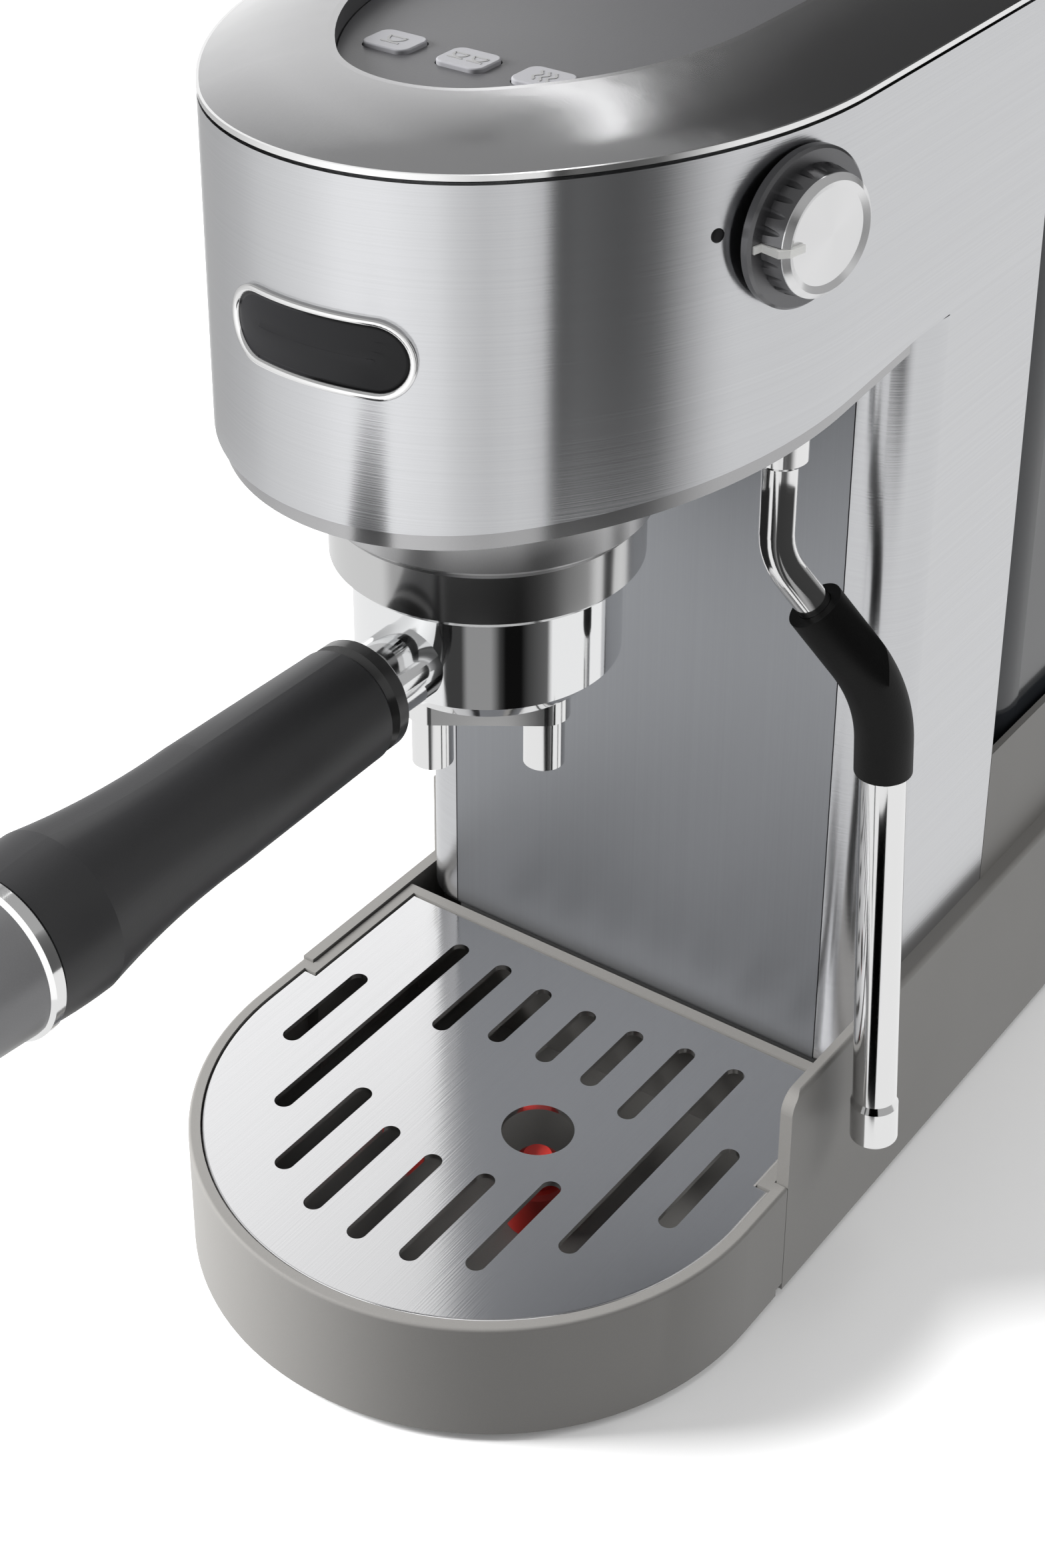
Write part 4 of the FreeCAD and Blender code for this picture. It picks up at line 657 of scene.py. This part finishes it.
@dataclass(frozen=True)
class Card:
    """A studio sheet beside the machine that shows in its steel and nowhere else.

    Its foot follows points on the floor, in metres, and its top may be shifted sideways. Each
    shade is a stop along the sheet: how far along it lies (0 to 1), the tone at the foot, the
    tone at the top, and how much the sheet covers of what is behind it. An inward sheet shows
    only its back, and no sheet shows to rays that have come further than its reach, in metres.
    """

    name: str
    foot: tuple[tuple[float, float], ...]
    low: float
    high: float
    shades: tuple[tuple[float, float, float, float], ...]
    shift: tuple[float, float] = (0.0, 0.0)
    inward: bool = False
    reach: float = 9.0
    columns: int = 121
    rows: int = 5

    def build(self) -> None:
        """Make the sheet, with its tone, cover, front and reach kept as values on its points."""
        foot = np.array(self.foot)
        run = np.concatenate([[0.0], np.cumsum(np.linalg.norm(np.diff(foot, axis=0), axis=1))])
        along, up = np.meshgrid(*(np.linspace(0.0, 1.0, n) for n in (self.columns, self.rows)))
        x, y = (
            np.interp(along * run[-1], run, foot[:, axis]) + up * self.shift[axis]
            for axis in (0, 1)
        )
        points = np.stack([x, y, self.low + up * (self.high - self.low)], axis=-1)
        sheet = grid_mesh(self.name, points, False, self.material())
        stops = np.array(self.shades)
        at_foot, at_top, cover = (np.interp(along, stops[:, 0], stops[:, n]) for n in (1, 2, 3))
        for name, values in (
            ("tone", at_foot + up * (at_top - at_foot)), ("cover", cover),
            ("front", np.full(along.shape, 0.0 if self.inward else 1.0)),
            ("reach", np.full(along.shape, self.reach)),
        ):
            kept = sheet.data.attributes.new(name, "FLOAT", "POINT")
            kept.data.foreach_set("value", values.ravel())
        sheet.visible_camera = False
        sheet.visible_shadow = False
        sheet.visible_diffuse = False

    @staticmethod
    def material() -> bpy.types.Material:
        """Build the sheets' common material, or give the one already built.

        Returns:
            A material that glows by the tone and lets through what the cover leaves. It is
            clear on a front whose value is 0, and past the reach.
        """
        known = bpy.data.materials.get("card_tone")
        if known:
            return known
        made = bpy.data.materials.new("card_tone")
        made.use_nodes = True
        tree = made.node_tree
        tree.nodes.remove(tree.nodes["Principled BSDF"])
        tone, cover, front, reach = (
            node(tree, "Attribute", out="Fac", attribute_name=name)
            for name in ("tone", "cover", "front", "reach")
        )
        seen = calc(tree, "MAXIMUM", node(tree, "NewGeometry", out="Backfacing"), front)
        near = calc(tree, "LESS_THAN", node(tree, "LightPath", out="Ray Length"), reach)
        share = calc(tree, "MULTIPLY", calc(tree, "MULTIPLY", seen, cover), near)
        glow = node(tree, "Emission", {"Strength": tone})
        mix = node(tree, "MixShader", {"Fac": share, 1: node(tree, "BsdfTransparent"), 2: glow})
        feed(tree, tree.nodes["Material Output"].inputs["Surface"], mix)
        return made


def ring(
    name: str, centre: tuple[float, float], radius: float, low: float, high: float,
    stops: tuple[tuple[float, float, float], ...], reach: float = 9.0, count: int = 49,
) -> Card:
    """Bend a card round an upright axis.

    Args:
        name: The card's name.
        centre: Where the axis stands on the floor, in metres.
        radius: How far the card stands from the axis.
        low: The height of its foot.
        high: The height of its top.
        stops: For each shade its angle from +X in degrees, its tone and its cover.
        reach: How far away the card still shows, in metres.
        count: How many points its foot has.

    Returns:
        The card. Its foot follows the arc from the first stop's angle to the last one's, and
        it shows only from the axis's side.
    """
    first, last = stops[0][0], stops[-1][0]
    turn = np.radians(np.linspace(first, last, count))
    foot = np.column_stack([np.cos(turn), np.sin(turn)]) * radius + np.array(centre)
    shades = [((angle - first) / (last - first), tone, tone, cover) for angle, tone, cover in stops]
    return Card(
        name, tuple(map(tuple, foot.tolist())), low, high, tuple(shades), inward=True, reach=reach,
    )


# Each stop holds its angle from +X in degrees, its tone and its cover.
HEAD_TONES = (
    (-200.0, 0.5, 1.0), (-169.0, 0.6, 1.0), (-152.0, 0.7, 1.0), (-138.0, 0.88, 1.0),
    (-117.0, 1.05, 1.0), (-101.0, 1.25, 1.0), (-85.0, 1.3, 1.0), (-65.0, 1.1, 1.0),
    (-58.0, 0.92, 1.0), (-48.0, 0.78, 1.0), (-36.0, 0.88, 1.0), (-30.4, 0.88, 1.0),
    (-30.0, 0.03, 1.0), (-27.0, 0.06, 1.0), (-24.0, 0.14, 1.0), (-13.0, 0.1, 1.0),
    (-5.0, 0.15, 1.0), (-1.0, 0.35, 1.0), (7.0, 0.75, 1.0), (14.0, 0.85, 0.0),
)
BOWL_TONES = (
    (-86.0, 0.8, 0.0), (-82.0, 0.05, 1.0), (-72.0, 0.05, 1.0), (-68.0, 0.3, 1.0),
    (-52.0, 0.3, 1.0), (-46.0, 0.05, 1.0), (-42.0, 0.005, 1.0), (-31.0, 0.005, 1.0),
    (-26.0, 0.05, 1.0), (-12.0, 0.13, 1.0), (-8.0, 0.3, 0.0),
)
RIM_TONES = (
    (-118.0, 0.5, 0.0), (-111.0, 0.45, 0.8), (-96.0, 0.4, 0.8), (-84.0, 0.2, 1.0),
    (-77.0, 0.04, 1.0), (-36.0, 0.015, 1.0), (-26.0, 0.05, 1.0), (-18.0, 0.1, 1.0),
    (-8.0, 0.25, 1.0), (7.0, 0.4, 1.0), (14.0, 0.6, 0.0),
)
TUBE_TONES = (
    (-185.0, 0.02, 1.0), (-124.0, 0.02, 1.0), (-116.0, 0.5, 0.0), (-70.0, 0.5, 0.0),
    (-62.0, 0.04, 1.0), (50.0, 0.05, 1.0), (70.0, 0.2, 0.0),
)
GROUP_SPOT = (0.0, -0.076)
CARDS = (
    ring("head_card", (0.0, -0.0825), 0.19, 0.135, 0.33, HEAD_TONES),
    ring("bowl_card", GROUP_SPOT, 0.08, 0.06, 0.163, BOWL_TONES, 0.09),
    ring("rim_card", GROUP_SPOT, 0.08, 0.163, 0.19, RIM_TONES, 0.09),
    ring("tube_card", (0.063, -0.057), 0.025, 0.172, 0.208, TUBE_TONES, 0.045),
    Card(
        "wand_card", ((0.078, -0.102), (0.118, -0.088)), 0.0, 0.1,
        ((0.0, 0.0, 0.0, 1.0), (1.0, 0.0, 0.0, 1.0)), (0.020, 0.009),
    ),
    Card(
        "rear_wall", ((-0.769, 1.172), (-1.211, 0.862), (-1.936, 0.354)), 0.0, 2.7,
        ((0.0, 1.35, 0.1, 1.0), (0.38, 1.35, 0.6, 1.0), (0.7, 1.0, 0.6, 1.0), (1.0, 0.6, 0.5, 1.0)),
    ),
    Card(
        "rear_streak", ((-1.115, 0.920), (-1.017, 0.988)), 0.0, 2.7,
        ((0.0, 0.8, 5.0, 0.0), (0.3, 0.8, 5.0, 1.0), (0.7, 0.8, 5.0, 1.0), (1.0, 0.8, 5.0, 0.0)),
        (0.697, 0.488),
    ),
    Card(
        "rear_dark", ((-1.03, 0.98), (0.472, 2.03)), 0.0, 2.7,
        ((0.0, 0.25, 0.25, 1.0), (0.06, 0.12, 0.12, 1.0), (0.2, 0.04, 0.04, 1.0),
         (1.0, 0.04, 0.04, 1.0)),
        (0.697, 0.488),
    ),
)


@dataclass(frozen=True)
class Lamp:
    """A soft square lamp that steel doesn't reflect.

    Spot is its place and aim the point that it faces, in metres, and wide is its side.
    """

    name: str
    spot: tuple[float, float, float]
    aim: tuple[float, float, float]
    wide: float
    power: float

    def build(self) -> None:
        """Hang the lamp and turn it to its aim.

        Its tilt is the angle between straight down and the way to its aim, and its turn round
        +Z brings the tilt over to that way.
        """
        data = bpy.data.lights.new(self.name, "AREA")
        data.shape = "SQUARE"
        data.size = self.wide
        data.energy = self.power
        made = bpy.data.objects.new(self.name, data)
        bpy.context.collection.objects.link(made)
        made.location = self.spot
        made.visible_glossy = False
        way = np.array(self.aim) - np.array(self.spot)
        made.rotation_euler = (
            math.atan2(math.hypot(way[0], way[1]), -way[2]), 0.0, math.atan2(-way[0], way[1])
        )


LAMPS = (
    Lamp("key_lamp", (-1.25, -0.75, 0.85), (0.0, 0.0, 0.12), 0.8, 90.0),
    Lamp("side_lamp", (1.3, 0.7, 1.0), (0.0, 0.0, 0.15), 1.0, 9.0),
    Lamp("top_lamp", (0.0, 0.3, 1.8), (0.0, 0.0, 0.1), 1.2, 9.0),
)


@dataclass
class Studio:
    """The pale floor, the soft lamps, the cards that steel reflects, and the camera.

    The floor looks pale, throws less light back on the machine than its colour would, and
    clears into the white sky between the two distances of its fading.
    """

    floor_size: float = 6.0
    floor_cells: int = 8
    floor_pale: tuple[float, float, float, float] = (0.9, 0.9, 0.9, 1.0)
    floor_dim: tuple[float, float, float, float] = (0.3, 0.3, 0.3, 1.0)
    floor_rough: float = 0.7
    floor_specular: float = 0.1
    floor_glow: float = 0.93
    glow_in_view: float = 0.08
    fading: tuple[float, float] = (0.7, 1.5)
    world_level: float = 0.43
    lens: float = 64.19
    sensor: float = 36.0
    shift: tuple[float, float] = (0.0125, -0.2126)
    nearest: float = 0.01
    eye: tuple[float, float, float] = (0.3150, -0.5069, 0.5022)
    eye_tilt: float = 61.98
    eye_turn: float = 35.81

    def floor_material(self) -> bpy.types.Material:
        """Build the floor's material.

        Returns:
            A matt pale material, mixed with a glow: a little of it for the camera, and the glow
            alone for reflections. For the camera it is clear far out.
        """
        made = bpy.data.materials.new("pale_floor")
        made.use_nodes = True
        tree = made.node_tree
        rays = node(tree, "LightPath").node.outputs
        colour = node(tree, "Mix", {
            "Factor": rays["Is Diffuse Ray"], "A": self.floor_pale, "B": self.floor_dim,
        }, "Result", data_type="RGBA")
        shader = tree.nodes["Principled BSDF"]
        for name, value in (
            ("Base Color", colour), ("Roughness", self.floor_rough),
            ("Specular IOR Level", self.floor_specular),
        ):
            feed(tree, shader.inputs[name], value)
        glow = node(tree, "Emission", {"Strength": self.floor_glow})
        to_camera = calc(tree, "MULTIPLY", rays["Is Camera Ray"], self.glow_in_view)
        share = calc(tree, "ADD", to_camera, rays["Is Glossy Ray"])
        near = node(tree, "MixShader", {"Fac": share, 1: shader.outputs["BSDF"], 2: glow})
        place = node(tree, "TexCoord", out="Object")
        away = node(tree, "VectorMath", {0: place}, "Value", operation="LENGTH")
        thin = node(tree, "MapRange", {
            "Value": away, "From Min": self.fading[0], "From Max": self.fading[1],
        }, "Result")
        clear = calc(tree, "MULTIPLY", thin, rays["Is Camera Ray"])
        whole = node(tree, "MixShader", {"Fac": clear, 1: near, 2: node(tree, "BsdfTransparent")})
        feed(tree, tree.nodes["Material Output"].inputs["Surface"], whole)
        return made

    def floor(self) -> None:
        """Lay a wide floor that keeps the soft shadow."""
        half = self.floor_size / 2
        side = np.linspace(-half, half, self.floor_cells + 1)
        x, y = np.meshgrid(side, side)
        points = np.stack([x, y, np.zeros_like(x)], axis=-1)
        floor = grid_mesh("studio_floor", points, False, self.floor_material())

    def sky(self) -> None:
        """Fill the world with an even light that is white to the camera and through the tank."""
        world = bpy.data.worlds.new("pale_world")
        bpy.context.scene.world = world
        world.use_nodes = True
        tree = world.node_tree
        rays = node(tree, "LightPath").node.outputs
        seen = calc(tree, "MAXIMUM", rays["Is Camera Ray"], rays["Is Transmission Ray"])
        level = node(tree, "MapRange", {
            "Value": seen, "To Min": self.world_level, "To Max": 1.0,
        }, "Result")
        back = tree.nodes["Background"]
        back.inputs["Color"].default_value = (1.0, 1.0, 1.0, 1.0)
        feed(tree, back.inputs["Strength"], level)

    def camera(self) -> None:
        """Set the camera where the photograph was taken from."""
        data = bpy.data.cameras.new("photo_camera")
        data.lens = self.lens
        data.sensor_width = self.sensor
        data.shift_x, data.shift_y = self.shift
        data.clip_start = self.nearest
        made = bpy.data.objects.new("photo_camera", data)
        bpy.context.collection.objects.link(made)
        made.location = self.eye
        made.rotation_euler = (math.radians(self.eye_tilt), 0.0, math.radians(self.eye_turn))
        bpy.context.scene.camera = made

    def build(self) -> None:
        """Set up everything round the machine."""
        self.floor()
        self.sky()
        for piece in (*LAMPS, *CARDS):
            piece.build()
        self.camera()


def main() -> None:
    """Dress the machine, add its small pieces and set up the studio."""
    logging.basicConfig(level=logging.INFO)
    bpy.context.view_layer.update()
    bpy.context.scene.view_settings.view_transform = "Standard"
    dress_solids()
    NoseBadge().build()
    SideDot().build()
    ButtonIcons().build()
    Studio().build()


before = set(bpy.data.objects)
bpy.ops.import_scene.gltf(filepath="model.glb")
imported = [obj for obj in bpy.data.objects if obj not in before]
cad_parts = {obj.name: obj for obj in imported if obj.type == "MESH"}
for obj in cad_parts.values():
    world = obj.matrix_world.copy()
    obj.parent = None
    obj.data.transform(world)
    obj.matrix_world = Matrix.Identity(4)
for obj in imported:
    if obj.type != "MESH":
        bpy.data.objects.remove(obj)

if __name__ == "__main__":
    main()
